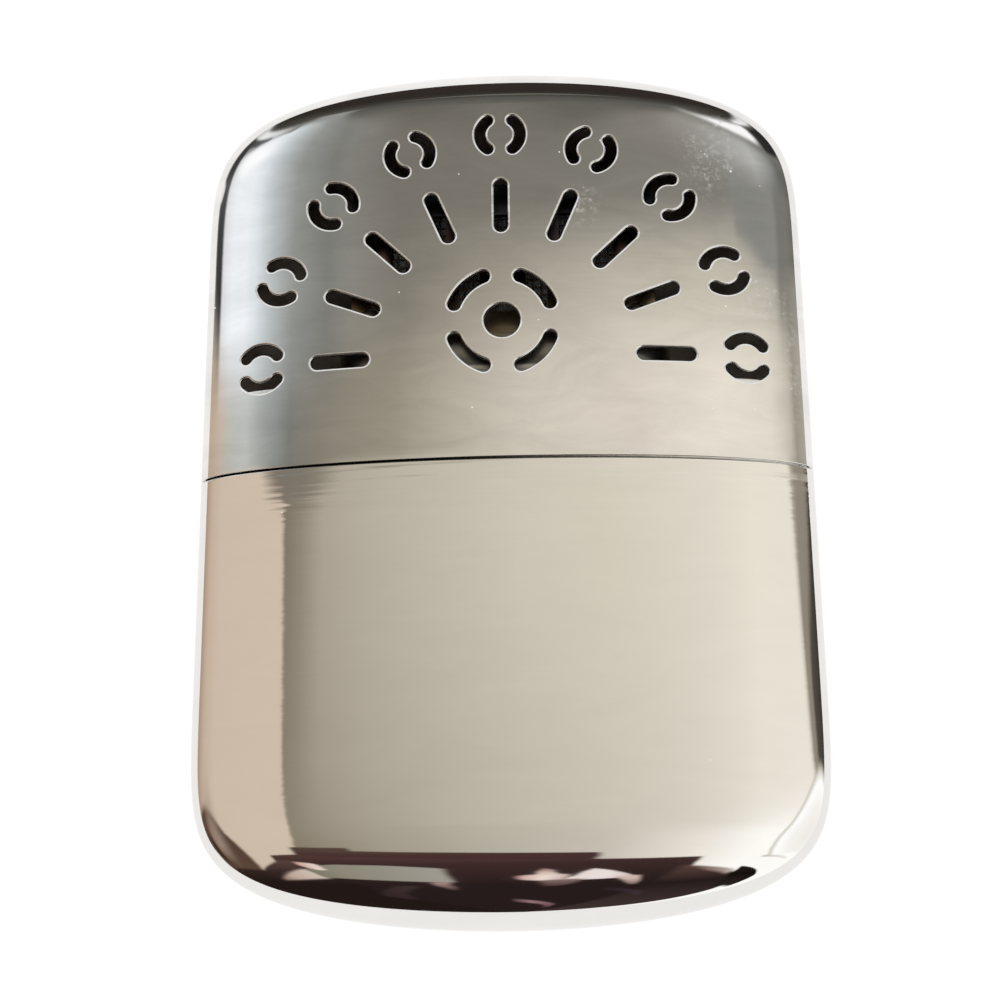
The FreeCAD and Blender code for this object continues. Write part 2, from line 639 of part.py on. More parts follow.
def drill_guard(name, guard):
    """Give a guard its rivet holes."""
    holes = [upright_cylinder(f"{name}_hole_{spot}", "sizes.rivet_diameter", "sizes.body_thickness", "0",
                              across, along) for spot, across, along in rivet_places()]
    return cut(name, guard, fuse(f"{name}_holes", *holes))


def make_guards():
    """The front and rear guards, each with its folded lip and rivet holes."""
    guards = []
    for face, sign in (("front", "+"), ("rear", "-")):
        inner_face = SCREEN_OUTER if face == "front" else GUARD_OUTER
        plate = make_guard_plate(f"guard_plate_{face}", f"{MID_PLANE} {sign} {inner_face}")
        depth = f"({GUARD_OUTER} - sizes.guard_lip_gap / 2)"
        lip = centred_box(f"guard_lip_{face}", BURNER_WIDTH, "sizes.guard_thickness", depth,
                          BURNER_TOP, f"{MID_PLANE} {sign} ({GUARD_OUTER} - {depth} / 2)")
        guards.append(drill_guard(f"burner_guard_{face}", fuse(f"folded_guard_{face}", plate, lip)))
    return guards


def make_screen(name, underside):
    """A fine screen between the mat and a guard."""
    body = body_on(name)
    plate = face_up_sketch(body, f"{name}_plate", WINDOW_FOOT, underside)
    rectangle(plate, MAT_WIDTH, WINDOW_HEIGHT)
    pad_up(body, f"{name}_pad", plate, "sizes.screen_thickness")
    columns = f"floor(({MAT_WIDTH} - 2 * sizes.screen_border) / sizes.screen_pitch)"
    rows = f"floor(({WINDOW_HEIGHT} - 2 * sizes.screen_border) / sizes.screen_pitch)"
    holes = face_up_sketch(body, f"{name}_hole_sketch", WINDOW_FOOT, underside)
    holes.setExpression("AttachmentOffset.Base.x", f"-({columns} - 1) * sizes.screen_pitch / 2")
    first_row = f"({WINDOW_HEIGHT} - ({rows} - 1) * sizes.screen_pitch - sizes.screen_hole) / 2"
    rectangle(holes, "sizes.screen_hole", "sizes.screen_hole", first_row)
    hole = pocket_up(body, f"{name}_hole", holes, "sizes.screen_thickness")
    grid = body.newObject("PartDesign::MultiTransform", f"{name}_grid")
    grid.Originals = [hole]
    grid.Refine = False
    steps = []
    for direction, count in (("X_Axis", columns), ("Y_Axis", rows)):
        step = body.newObject("PartDesign::LinearPattern", f"{name}_{direction[0].lower()}_row")
        step.Direction = (origin_part(body, direction), [""])
        step.setExpression("Length", f"sizes.screen_pitch * ({count} - 1)")
        step.setExpression("Occurrences", count)
        steps.append(step)
    grid.Transformations = steps
    body.Tip = grid
    doc.recompute()
    return body


def make_rivets():
    """The rivets that clinch the two guards together."""
    rivets = []
    for place_name, across, along in rivet_places():
        name = f"rivet_{place_name}"
        shank = upright_cylinder(f"{name}_shank", "sizes.rivet_diameter", f"2 * {GUARD_OUTER}",
                                 f"{MID_PLANE} - {GUARD_OUTER}", across, along)
        front = upright_cylinder(f"{name}_front_head", "sizes.rivet_head_diameter", "sizes.rivet_head_height",
                                 f"{MID_PLANE} + {GUARD_OUTER}", across, along)
        rear = upright_cylinder(f"{name}_rear_head", "sizes.rivet_head_diameter", "sizes.rivet_head_height",
                                f"{MID_PLANE} - {GUARD_OUTER} - sizes.rivet_head_height", across, along)
        rivets.append(fuse(name, shank, front, rear))
    group = doc.addObject("Part::Compound", "burner_rivets")
    group.Links = rivets
    return group


def build_nodes():
    """Every separate piece of the warmer, by the name of its file."""
    make_sheet()
    lower_wadding, upper_wadding = make_waddings()
    front_guard, rear_guard = make_guards()
    nodes = {
        "tank_shell": make_tank_shell(),
        "tank_collar": make_collar(),
        "filler_neck": make_filler_neck(),
        "lower_wadding": lower_wadding,
        "upper_wadding": upper_wadding,
        "neck_wick": make_wick(),
        "burner_base": make_burner_base(),
        "burner_frame": make_burner_frame(),
        "catalyst_mat": make_catalyst_mat(),
        "burner_screen_front": make_screen("burner_screen_front", f"{MID_PLANE} + {SCREEN_OUTER}"
                                           " - sizes.screen_thickness"),
        "burner_screen_rear": make_screen("burner_screen_rear", f"{MID_PLANE} - {SCREEN_OUTER}"),
        "burner_guard_front": front_guard,
        "burner_guard_rear": rear_guard,
        "burner_rivets": make_rivets(),
        "cap_shell": make_cap_shell(),
    }
    return nodes


def check_and_export(nodes):
    """Stop at the first faulty object, then write one file for each piece."""
    doc.recompute()
    faulty = [item.Name for item in doc.Objects if "Invalid" in item.State or "Error" in item.State]
    if faulty:
        raise RuntimeError(f"these could not be made: {faulty}")
    os.makedirs("parts", exist_ok=True)
    for name, item in nodes.items():
        item.Label = name
        shape = item.Shape
        if shape.isNull() or not shape.isValid():
            raise RuntimeError(f"{name} has no valid shape")
        print(f"{name:22s} solids {len(shape.Solids)}  volume {shape.Volume:10.2f} mm3")
    for name, item in nodes.items():
        item.Shape.exportStep(f"parts/{name}.step")


check_and_export(build_nodes())
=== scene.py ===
"""A pocket catalytic hand warmer: finished pieces over its CAD model, and a small studio round them.

Sizes are in millimetres in the model's own frame and become metres when a mesh is made.  X runs across the
body, Y along it towards the cap's end, and Z up through its thickness.
"""
import sys
import logging
import math
from dataclasses import dataclass, field, replace
from enum import Enum, IntEnum
from typing import Callable, Iterator, Optional, Sequence

import bmesh
import bpy
import numpy as np
from mathutils import Matrix, Vector, noise
from mathutils.geometry import delaunay_2d_cdt


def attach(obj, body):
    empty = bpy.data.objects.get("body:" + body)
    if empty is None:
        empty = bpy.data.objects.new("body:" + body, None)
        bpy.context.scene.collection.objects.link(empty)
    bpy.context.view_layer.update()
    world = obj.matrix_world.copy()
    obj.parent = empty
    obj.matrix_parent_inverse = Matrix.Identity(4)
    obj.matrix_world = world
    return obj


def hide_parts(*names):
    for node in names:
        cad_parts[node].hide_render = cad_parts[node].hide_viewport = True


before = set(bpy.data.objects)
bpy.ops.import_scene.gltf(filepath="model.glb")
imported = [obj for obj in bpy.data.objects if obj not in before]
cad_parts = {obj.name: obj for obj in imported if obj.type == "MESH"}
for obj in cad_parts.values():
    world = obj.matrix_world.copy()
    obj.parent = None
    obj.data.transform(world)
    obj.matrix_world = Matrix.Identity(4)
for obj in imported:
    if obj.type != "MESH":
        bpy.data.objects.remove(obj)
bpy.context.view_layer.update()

LOG = logging.getLogger("hand_warmer")
MM = 0.001
MID_PLANE = 7.0
TINY = 1e-6
LOOP_POINTS = 240

Colour = tuple[float, float, float]
Point = tuple[float, float, float]
Plan = tuple[float, float]
Array = np.ndarray
Surface = tuple[Array, Array]
Piece = bpy.types.Object
Material = bpy.types.Material
Socket = bpy.types.NodeSocket
Tree = bpy.types.NodeTree


class Body(Enum):
    """The bodies that move apart from each other."""

    TANK = "tank"
    BURNER = "burner"
    CAP = "cap"


class Face(IntEnum):
    """The faces of a drawn shell; each value is the number of its finish."""

    OUTSIDE = 0
    INSIDE = 1
    LIP = 2

    @property
    def way(self) -> float:
        """Which way normals point: +1 out of the form and -1 into it."""
        return -1.0 if self is Face.INSIDE else 1.0


class Axis(Enum):
    """The ways in which a studio card's colour may run."""

    ACROSS = "across"
    ALONG = "along"
    OUTWARDS = "outwards"


# ----- Meshes -----


@dataclass
class Row:
    """A closed loop of points already in a draft, with the normals that a strip of faces uses there."""

    points: Array
    normals: Array

    def facing(self, normals: Array) -> "Row":
        """The same points with other normals, for the far side of a sharp edge."""
        return Row(self.points, np.broadcast_to(normals, self.normals.shape))


class MeshDraft:
    """Collects points, faces and corner normals, and makes a piece of them."""

    def __init__(self, name: str) -> None:
        """Start an empty draft of the named piece.

        Args:
            name: The piece's name.
        """
        self.name = name
        self.point_sets: list[Array] = []
        self.count = 0
        self.faces: list[list[int]] = []
        self.normals: list[Array] = []
        self.finishes: list[int] = []

    def row(self, points: Array, normals: Array) -> Row:
        """Add points.

        Args:
            points: One place for each point.
            normals: One normal for each point.

        Returns:
            The points as a row that strips can join.
        """
        self.point_sets.append(np.asarray(points, float))
        indices = np.arange(self.count, self.count + len(points))
        self.count += len(points)
        return Row(indices, np.asarray(normals, float))

    def places(self) -> Array:
        """Every point so far."""
        return np.concatenate(self.point_sets)

    def add_faces(self, corners: Array, normals: Array, finish: int = 0) -> None:
        """Add faces of one kind, turned as a whole so that they face the way of their normals.

        Args:
            corners: Point indices, one row for each face.
            normals: A normal for each corner of each face.
            finish: The number of the material on them.
        """
        places = self.places()[corners]
        flat = np.cross(places[:, 1] - places[:, 0], places[:, 2] - places[:, 0])
        if np.sum(flat * normals.mean(axis=1)) < 0:
            corners, normals = corners[:, ::-1], normals[:, ::-1]
        self.faces.extend(corners.tolist())
        self.normals.extend(normals)
        self.finishes.extend([finish] * len(corners))

    def strip(self, low: Row, high: Row, finish: int = 0, gap: Optional[range] = None) -> None:
        """Join two rows with quads.

        Args:
            low: One row.
            high: The next row.
            finish: The number of the material on the quads.
            gap: Columns that are left open.
        """
        columns = np.array([column for column in range(len(low.points)) if not (gap and column in gap)])
        after = (columns + 1) % len(low.points)
        ring = ((low, columns), (high, columns), (high, after), (low, after))
        corners = np.stack([row.points[chosen] for row, chosen in ring], 1)
        normals = np.stack([row.normals[chosen] for row, chosen in ring], 1)
        self.add_faces(corners, normals, finish)

    def close(self, row: Row, tip: Sequence[float], normal: Sequence[float], finish: int = 0) -> None:
        """Close a row with a fan of triangles to one point.

        Args:
            row: The row.
            tip: The point that it closes to.
            normal: The normal at that point.
            finish: The number of the material on the triangles.
        """
        point = self.row(np.array([tip]), np.array([normal]))
        after = np.roll(row.points, -1)
        corners = np.stack([row.points, np.full(len(after), point.points[0]), after], 1)
        normals = np.stack([row.normals, np.broadcast_to(point.normals[0], row.normals.shape),
                            np.roll(row.normals, -1, axis=0)], 1)
        self.add_faces(corners, normals, finish)

    def build(self, materials: Sequence[Material], body: Body, slot: str,
              nodes: Sequence[str]) -> Piece:
        """Make the piece.

        Args:
            materials: The finishes, by number.
            body: The body that the piece moves with.
            slot: The name of a material slot, handed on to add_piece.
            nodes: The CAD nodes that the piece stands for.

        Returns:
            The new object.
        """
        mesh = bpy.data.meshes.new(self.name)
        mesh.from_pydata((self.places() * MM).tolist(), [], self.faces)
        mesh.polygons.foreach_set("material_index", self.finishes)
        mesh.polygons.foreach_set("use_smooth", [True] * len(self.faces))
        mesh.normals_split_custom_set(np.concatenate(self.normals).tolist())
        return add_piece(mesh, materials, body, slot, nodes)


def add_object(name: str, data: bpy.types.ID) -> Piece:
    """Make an object of a mesh, a lamp or a camera and put it in the scene.

    Args:
        name: Its name.
        data: What it shows.

    Returns:
        The new object.
    """
    made = bpy.data.objects.new(name, data)
    bpy.context.scene.collection.objects.link(made)
    return made


def add_piece(mesh: bpy.types.Mesh, materials: Sequence[Material], body: Body, slot: str,
              nodes: Sequence[str]) -> Piece:
    """Put a mesh in the scene as a piece of the warmer.

    Args:
        mesh: The finished mesh, in metres.
        materials: Its finishes, by number.
        body: The body that it moves with.
        slot: Not used.
        nodes: The CAD nodes that it stands for.

    Returns:
        The new object.
    """
    for material in materials:
        mesh.materials.append(material)
    piece = add_object(mesh.name, mesh)
    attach(piece, body.value)
    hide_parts(*nodes)
    LOG.info("%s: %d faces, on the %s", piece.name, len(mesh.polygons), body.value)
    return piece


def smooth_mesh(name: str, work: bmesh.types.BMesh) -> bpy.types.Mesh:
    """Make a smooth mesh of what a BMesh holds, and free the BMesh.

    Args:
        name: The mesh's name.
        work: The faces, in metres.

    Returns:
        The mesh.
    """
    mesh = bpy.data.meshes.new(name)
    work.to_mesh(mesh)
    work.free()
    mesh.polygons.foreach_set("use_smooth", [True] * len(mesh.polygons))
    return mesh


def lumpiness(place: Vector, size: float) -> float:
    """How far soft stuff swells at a place, in lumps of a size; it is mostly between -1 and 1."""
    return noise.fractal(place / size, 1.0, 2.0, 3)


@dataclass(frozen=True)
class Loop:
    """A closed curve across the warmer, as X and height over the mid-plane, with its outward normals."""

    points: Array
    normals: Array

    def placed(self, along: float) -> Array:
        """The places of the loop's points at a place along the warmer."""
        across, up = self.points.T
        return np.stack([across, np.full(len(across), along), MID_PLANE + up], 1)

    def leaning(self, lean: float) -> Array:
        """The normals of a wall along the loop that leans by some degrees towards the cap's end.

        Args:
            lean: How far it leans.

        Returns:
            The normals.
        """
        turn = math.radians(lean)
        return np.stack([self.normals[:, 0] * math.cos(turn), np.full(len(self.normals), math.sin(turn)),
                         self.normals[:, 1] * math.cos(turn)], 1)


def oval_loop(half_width: float, half_thickness: float) -> Loop:
    """An oval with evenly turned points.

    Args:
        half_width: Half its size across.
        half_thickness: Half its size upwards.

    Returns:
        The loop.
    """
    turns = np.linspace(0, 2 * math.pi, LOOP_POINTS, endpoint=False)
    across, up = np.cos(turns), np.sin(turns)
    normals = np.stack([across / half_width, up / half_thickness], 1)
    normals /= np.linalg.norm(normals, axis=1, keepdims=True)
    return Loop(np.stack([half_width * across, half_thickness * up], 1), normals)


def cornered_loop(half_width: float, half_thickness: float, radius: float) -> Loop:
    """A rectangle with round corners, with points evenly spaced round it from the middle of its right side.

    With a radius equal to half its thickness it is a flat-sided oval.

    Args:
        half_width: Half its size across.
        half_thickness: Half its size upwards.
        radius: The corners' radius.

    Returns:
        The loop.
    """
    side, rise = half_width - radius, half_thickness - radius
    bend = math.pi * radius / 2
    runs = [("line", rise, (half_width, 0.0), (0.0, 1.0)), ("bend", bend, (side, rise), 0.0),
            ("line", 2 * side, (side, half_thickness), (-1.0, 0.0)), ("bend", bend, (-side, rise), 90.0),
            ("line", 2 * rise, (-half_width, rise), (0.0, -1.0)), ("bend", bend, (-side, -rise), 180.0),
            ("line", 2 * side, (-side, -half_thickness), (1.0, 0.0)), ("bend", bend, (side, -rise), 270.0),
            ("line", rise, (half_width, -rise), (0.0, 1.0))]
    total = sum(run[1] for run in runs)
    points, normals = [], []
    for index in range(LOOP_POINTS):
        left = total * index / LOOP_POINTS
        for kind, length, start, heading in runs:
            if left <= length + TINY:
                break
            left -= length
        if kind == "line":
            points.append((start[0] + heading[0] * left, start[1] + heading[1] * left))
            normals.append((heading[1], -heading[0]))
        else:
            turn = math.radians(heading) + left / radius
            normals.append((math.cos(turn), math.sin(turn)))
            points.append((start[0] + radius * math.cos(turn), start[1] + radius * math.sin(turn)))
    return Loop(np.array(points), np.array(normals))


@dataclass(frozen=True)
class Step:
    """One row of a lofted wall.

    `lean` is the way that the surface faces: 0 straight out, 90 towards the cap's end, 180 inwards and -90
    towards the tank's end.  `next_lean` is given where a sharp edge lies.
    """

    loop: Loop
    along: float
    lean: float
    next_lean: Optional[float] = None


def rounding(loop_at: Callable[[float], Loop], edge: float, radius: float, lean_from: float, lean_to: float,
             pieces: int) -> Iterator[Step]:
    """The rows of a rounded edge.

    Args:
        loop_at: Gives the loop that is drawn in by a distance.
        edge: Where the unrounded edge would be along the warmer, with the wall's loop drawn in by 0.
        radius: The edge's radius.
        lean_from: The lean where the rounding starts.
        lean_to: The lean where it ends.
        pieces: How many strips it is made of.

    Yields:
        The rows in order.
    """
    inward = -1.0 if max(abs(lean_from), abs(lean_to)) > 90 else 1.0
    towards = 1.0 if lean_from + lean_to > 0 else -1.0
    for step in range(pieces + 1):
        lean = math.radians(lean_from + (lean_to - lean_from) * step / pieces)
        yield Step(loop_at(inward * radius * (1 - abs(math.cos(lean)))),
                   edge - towards * radius * (1 - abs(math.sin(lean))), math.degrees(lean))


def loft(draft: MeshDraft, steps: Sequence[Step]) -> None:
    """Skin the rows of a wall, in order round it; the last row joins the first.

    Args:
        draft: Where the faces go.
        steps: The rows.
    """
    made = []
    for step in steps:
        before = draft.row(step.loop.placed(step.along), step.loop.leaning(step.lean))
        after = before if step.next_lean is None else before.facing(step.loop.leaning(step.next_lean))
        made.append((before, after))
    for (_, low), (high, _) in zip(made, made[1:] + made[:1]):
        draft.strip(low, high)


# ----- The two drawn shells -----


@dataclass(frozen=True)
class OvalForm:
    """Half of the body: an oval tube that rounds in to a closed tip.

    `inward` is +1 where the mouth lies further along the warmer than the tip, and -1 where it lies before it.
    """

    tip: float
    inward: float
    reach: float
    squareness: float
    end_depth: float
    half_width: float = 33.75
    half_thickness: float = 7.0

    def drawn_in(self, inset: float) -> "OvalForm":
        """The form that lies inside this one by a distance all round.

        Args:
            inset: The distance.

        Returns:
            The smaller form.
        """
        return replace(self, tip=self.tip + self.inward * inset, reach=self.reach - inset,
                       end_depth=self.end_depth - inset, half_width=self.half_width - inset,
                       half_thickness=self.half_thickness - inset)

    def section(self, along: Array) -> tuple[Array, Array, Array, Array]:
        """The half-width and half-thickness at places along the warmer, and how fast each grows along Y.

        Args:
            along: The places.

        Returns:
            The two half sizes and then how fast they grow.
        """
        distance = (along - self.tip) * self.inward
        side = np.clip((self.reach - distance) / self.reach, 0, 1)
        end = np.clip((self.end_depth - distance) / self.end_depth, 0, 1)
        across = np.sqrt(1 - side ** self.squareness)
        up = np.sqrt(1 - end ** 2)
        steepness = self.squareness * side ** (self.squareness - 1)
        width_slope = self.half_width * steepness / (2 * self.reach * across)
        thickness_slope = self.half_thickness * end / (self.end_depth * up)
        return (self.half_width * across, self.half_thickness * up,
                self.inward * width_slope, self.inward * thickness_slope)

    def surface(self, across: Array, up: Array,
                along: Array) -> Surface:
        """Places on the surface and its outward normals.

        Args:
            across: X as a share of the half-width there.
            up: Height over the mid-plane as a share of the half-thickness there.
            along: Y.

        Returns:
            The places and the normals.
        """
        width, thickness, widening, thickening = self.section(along)
        places = np.stack([width * across, along, MID_PLANE + thickness * up], -1)
        falling = across ** 2 * widening / width + up ** 2 * thickening / thickness
        normals = np.stack([across / width, -falling, up / thickness], -1)
        return places, normals / np.linalg.norm(normals, axis=-1, keepdims=True)

    def front(self, places: Array) -> Surface:
        """Places on the front face and their normals, for places in plan.

        Args:
            places: X and Y of each place.

        Returns:
            The places and the normals.
        """
        width = self.section(places[:, 1])[0]
        across = places[:, 0] / width
        return self.surface(across, np.sqrt(1 - across ** 2), places[:, 1])

    def ring(self, along: float, count: int) -> Surface:
        """The places and normals of one row round the form."""
        turns = np.linspace(0, 2 * math.pi, count, endpoint=False)
        return self.surface(np.cos(turns), np.sin(turns), np.full(count, along))

    def stations(self, mouth: float, end_turn: float, shoulder_rows: int, straight_rows: int) -> list[float]:
        """Places of the rows from the tip to the mouth.

        Args:
            mouth: Where the last row lies.
            end_turn: The turn between rows of the end's rounding.
            shoulder_rows: How many rows lie where the form still widens.
            straight_rows: How many lie past that.

        Returns:
            The place of each row.
        """
        turns = np.radians(np.arange(end_turn, 90.0 - end_turn / 2, end_turn))
        end = self.end_depth * (1 - np.cos(turns))
        shoulder = np.linspace(self.end_depth, self.reach, shoulder_rows)
        straight = np.linspace(self.reach, abs(mouth - self.tip), straight_rows + 1)[1:]
        return [self.tip + self.inward * distance for distance in (*end, *shoulder, *straight)]


@dataclass
class DrawnShell:
    """A shell drawn from sheet: polished outside, dull inside, with an eased edge at its mouth."""

    name: str
    node: str
    form: OvalForm
    mouth: float
    body: Body
    slot: str
    wall: float = 0.5
    edge_radius: float = 0.07
    edge_turns: tuple[float, ...] = (22.5, 45.0, 67.5, 90.0)
    columns: int = 240

    def build(self, *finishes: Material) -> Piece:
        """Make the shell; its finishes are in the order of Face, and a shell without holes has no lips.

        Args:
            finishes: The finish of each face.

        Returns:
            The new object.
        """
        draft = MeshDraft(self.name)
        inner_form = self.form.drawn_in(self.wall)
        outer_stations = self.form.stations(self.mouth - self.form.inward * self.edge_radius,
                                            end_turn=2.5, shoulder_rows=44, straight_rows=20)
        inner_stations = inner_form.stations(self.mouth, end_turn=6.0, shoulder_rows=18, straight_rows=10)
        outer = self.skin(draft, self.form, Face.OUTSIDE, outer_stations)
        inner = self.skin(draft, inner_form, Face.INSIDE, inner_stations)
        self.rim(draft, outer, inner)
        self.punch(draft)
        return draft.build(finishes, self.body, self.slot, [self.node])

    def skin(self, draft: MeshDraft, form: OvalForm, face: Face, stations: Sequence[float]) -> Row:
        """One face of the shell from its tip to its mouth.

        Args:
            draft: Where the faces go.
            form: The surface.
            face: Which face it is.
            stations: The places of its rows.

        Returns:
            The row at the mouth.
        """
        rows = []
        for along in stations:
            places, normals = form.ring(along, self.columns)
            rows.append(draft.row(places, face.way * normals))
        draft.close(rows[0], (0.0, form.tip, MID_PLANE), (0.0, -face.way * form.inward, 0.0), face)
        for index, (low, high) in enumerate(zip(rows, rows[1:])):
            draft.strip(low, high, face, self.opening(form, stations[index], stations[index + 1]))
        self.fill_opening(draft, form, rows, stations, face)
        return rows[-1]

    def opening(self, form: OvalForm, first: float, second: float) -> Optional[range]:
        """The columns that are left open between two rows; a plain shell has none."""
        return None

    def fill_opening(self, draft: MeshDraft, form: OvalForm, rows: Sequence[Row], stations: Sequence[float],
                     face: Face) -> None:
        """Fill what `opening` left out; a plain shell has nothing to fill."""

    def punch(self, draft: MeshDraft) -> None:
        """Join the outside and the inside round each hole; a plain shell has none."""

    def rim(self, draft: MeshDraft, outer: Row, inner: Row) -> None:
        """The eased edge and flat of the mouth.

        Args:
            draft: Where the faces go.
            outer: The outside's row at the mouth.
            inner: The inside's row at the mouth.
        """
        outwards = np.array([0.0, self.form.inward, 0.0])
        row = outer
        for turn in self.edge_turns:
            lean = math.radians(turn)
            along = self.mouth - self.form.inward * self.edge_radius * (1 - math.sin(lean))
            form = self.form.drawn_in(self.edge_radius * (1 - math.cos(lean)))
            places, normals = form.ring(along, self.columns)
            following = draft.row(places, math.cos(lean) * normals + math.sin(lean) * outwards)
            draft.strip(row, following)
            row = following
        draft.strip(row, inner.facing(outwards))


# ----- The cap's vents -----


END_PIECES = 14
SIDE_PIECES = 15
ARC_SPACING = 0.28
FEWEST_ARC_PIECES = 8
HOLE_POINTS = 56


class Vent:
    """A punched hole in the cap's front: all that lies within half its width of a centre line."""

    half_width: float

    def outline(self) -> Surface:
        """The edge's points in plan and its normals away from the hole."""
        raise NotImplementedError

    def gap(self, places: Array) -> Array:
        """How far places in plan lie outside the hole; less than nothing inside it."""
        raise NotImplementedError


def facing(turn: float) -> Array:
    """The way in plan at a turn, in radians."""
    return np.array([math.cos(turn), math.sin(turn)])


def round_end(centre: Array, heading: float, radius: float) -> list[Surface]:
    """Points and normals of a half-circle whose middle faces along `heading`."""
    normals = [facing(heading - math.pi / 2 + math.pi * step / END_PIECES) for step in range(END_PIECES + 1)]
    return [(centre + radius * normal, normal) for normal in normals]


def split(found: Sequence[Surface]) -> Surface:
    """Pairs of a point and a normal as an array of each."""
    return np.array([point for point, _ in found]), np.array([normal for _, normal in found])


@dataclass(frozen=True)
class SlotVent(Vent):
    """A straight slot with round ends."""

    start: Plan
    finish: Plan
    half_width: float

    def outline(self) -> Surface:
        """See Vent.

        Returns:
            The places and the normals.
        """
        start, finish = np.array(self.start), np.array(self.finish)
        run = finish - start
        heading = math.atan2(run[1], run[0])
        left = facing(heading + math.pi / 2)
        sides = np.linspace(0, 1, SIDE_PIECES + 1)[1:-1]
        found = round_end(finish, heading, self.half_width)
        found += [(finish - run * share + left * self.half_width, left) for share in sides]
        found += round_end(start, heading + math.pi, self.half_width)
        found += [(start + run * share - left * self.half_width, -left) for share in sides]
        return split(found)

    def gap(self, places: Array) -> Array:
        """See Vent.

        Args:
            places: X and Y of each place.

        Returns:
            The distance from each.
        """
        start, run = np.array(self.start), np.array(self.finish) - np.array(self.start)
        share = np.clip((places - start) @ run / (run @ run), 0, 1)
        return np.linalg.norm(places - start - share[:, None] * run, axis=1) - self.half_width


@dataclass(frozen=True)
class ArcVent(Vent):
    """A curved slot with round ends; its turns are in radians."""

    centre: Plan
    radius: float
    start: float
    finish: float
    half_width: float

    def outline(self) -> Surface:
        """See Vent.

        Returns:
            The places and the normals.
        """
        centre = np.array(self.centre)
        pieces = max(FEWEST_ARC_PIECES, round((self.finish - self.start) * self.radius / ARC_SPACING))
        turns = np.linspace(self.start, self.finish, pieces + 1)[1:-1]
        far, near = self.radius + self.half_width, self.radius - self.half_width
        found = [(centre + far * facing(turn), facing(turn)) for turn in turns]
        found += round_end(centre + self.radius * facing(self.finish), self.finish + math.pi / 2,
                           self.half_width)
        found += [(centre + near * facing(turn), -facing(turn)) for turn in turns[::-1]]
        found += round_end(centre + self.radius * facing(self.start), self.start - math.pi / 2,
                           self.half_width)
        return split(found)

    def gap(self, places: Array) -> Array:
        """See Vent.

        Args:
            places: X and Y of each place.

        Returns:
            The distance from each.
        """
        away = places - np.array(self.centre)
        middle = (self.start + self.finish) / 2
        half = (self.finish - self.start) / 2
        turn = (np.arctan2(away[:, 1], away[:, 0]) - middle + math.pi) % (2 * math.pi) - math.pi
        turn = np.clip(turn, -half, half) + middle
        nearest = self.radius * np.stack([np.cos(turn), np.sin(turn)], 1)
        return np.linalg.norm(away - nearest, axis=1) - self.half_width


@dataclass(frozen=True)
class RoundVent(Vent):
    """A round hole."""

    centre: Plan
    half_width: float

    def outline(self) -> Surface:
        """See Vent.

        Returns:
            The places and the normals.
        """
        turns = np.linspace(0, 2 * math.pi, HOLE_POINTS, endpoint=False)
        normals = np.stack([np.cos(turns), np.sin(turns)], 1)
        return np.array(self.centre) + self.half_width * normals, normals

    def gap(self, places: Array) -> Array:
        """See Vent."""
        return np.linalg.norm(places - np.array(self.centre), axis=1) - self.half_width


@dataclass
class VentFan:
    """The sizes of the cap's fan: radial slots, split rings outside them, and a split ring round a hole."""

    centre_along: float = 11.9
    count: int = 9
    sweep: float = math.pi
    slot_circle: float = 17.9
    slot_length: float = 6.5
    slot_width: float = 1.55
    ring_circle: float = 26.75
    ring_diameter: float = 5.8
    ring_slot: float = 1.25
    ring_bridge: float = 1.55
    hole_along: float = 15.9
    hole_diameter: float = 4.0
    middle_diameter: float = 12.8
    middle_slot: float = 1.5
    middle_bridge: float = 2.6

    def vents(self) -> list[Vent]:
        """Every hole in the cap's front.

        Returns:
            The vents, slots and rings first.
        """
        found: list[Vent] = []
        reach = (self.slot_length - self.slot_width) / 2
        ring_radius = (self.ring_diameter - self.ring_slot) / 2
        ring_lift = math.asin((self.ring_bridge + self.ring_slot) / 2 / ring_radius)
        for index in range(self.count):
            turn = self.sweep * index / (self.count - 1)
            out = facing(turn)
            centre = np.array([0.0, self.centre_along])
            found.append(SlotVent(tuple(centre + (self.slot_circle - reach) * out),
                                  tuple(centre + (self.slot_circle + reach) * out), self.slot_width / 2))
            for side in (0.0, math.pi):
                found.append(ArcVent(tuple(centre + self.ring_circle * out), ring_radius,
                                     turn + side + ring_lift, turn + side + math.pi - ring_lift,
                                     self.ring_slot / 2))
        middle_radius = (self.middle_diameter - self.middle_slot) / 2
        half = math.pi / 4 - math.asin((self.middle_bridge + self.middle_slot) / 2 / middle_radius)
        for quarter in range(4):
            turn = math.pi / 4 + quarter * math.pi / 2
            found.append(ArcVent((0.0, self.hole_along), middle_radius, turn - half, turn + half,
                                 self.middle_slot / 2))
        found.append(RoundVent((0.0, self.hole_along), self.hole_diameter / 2))
        return found


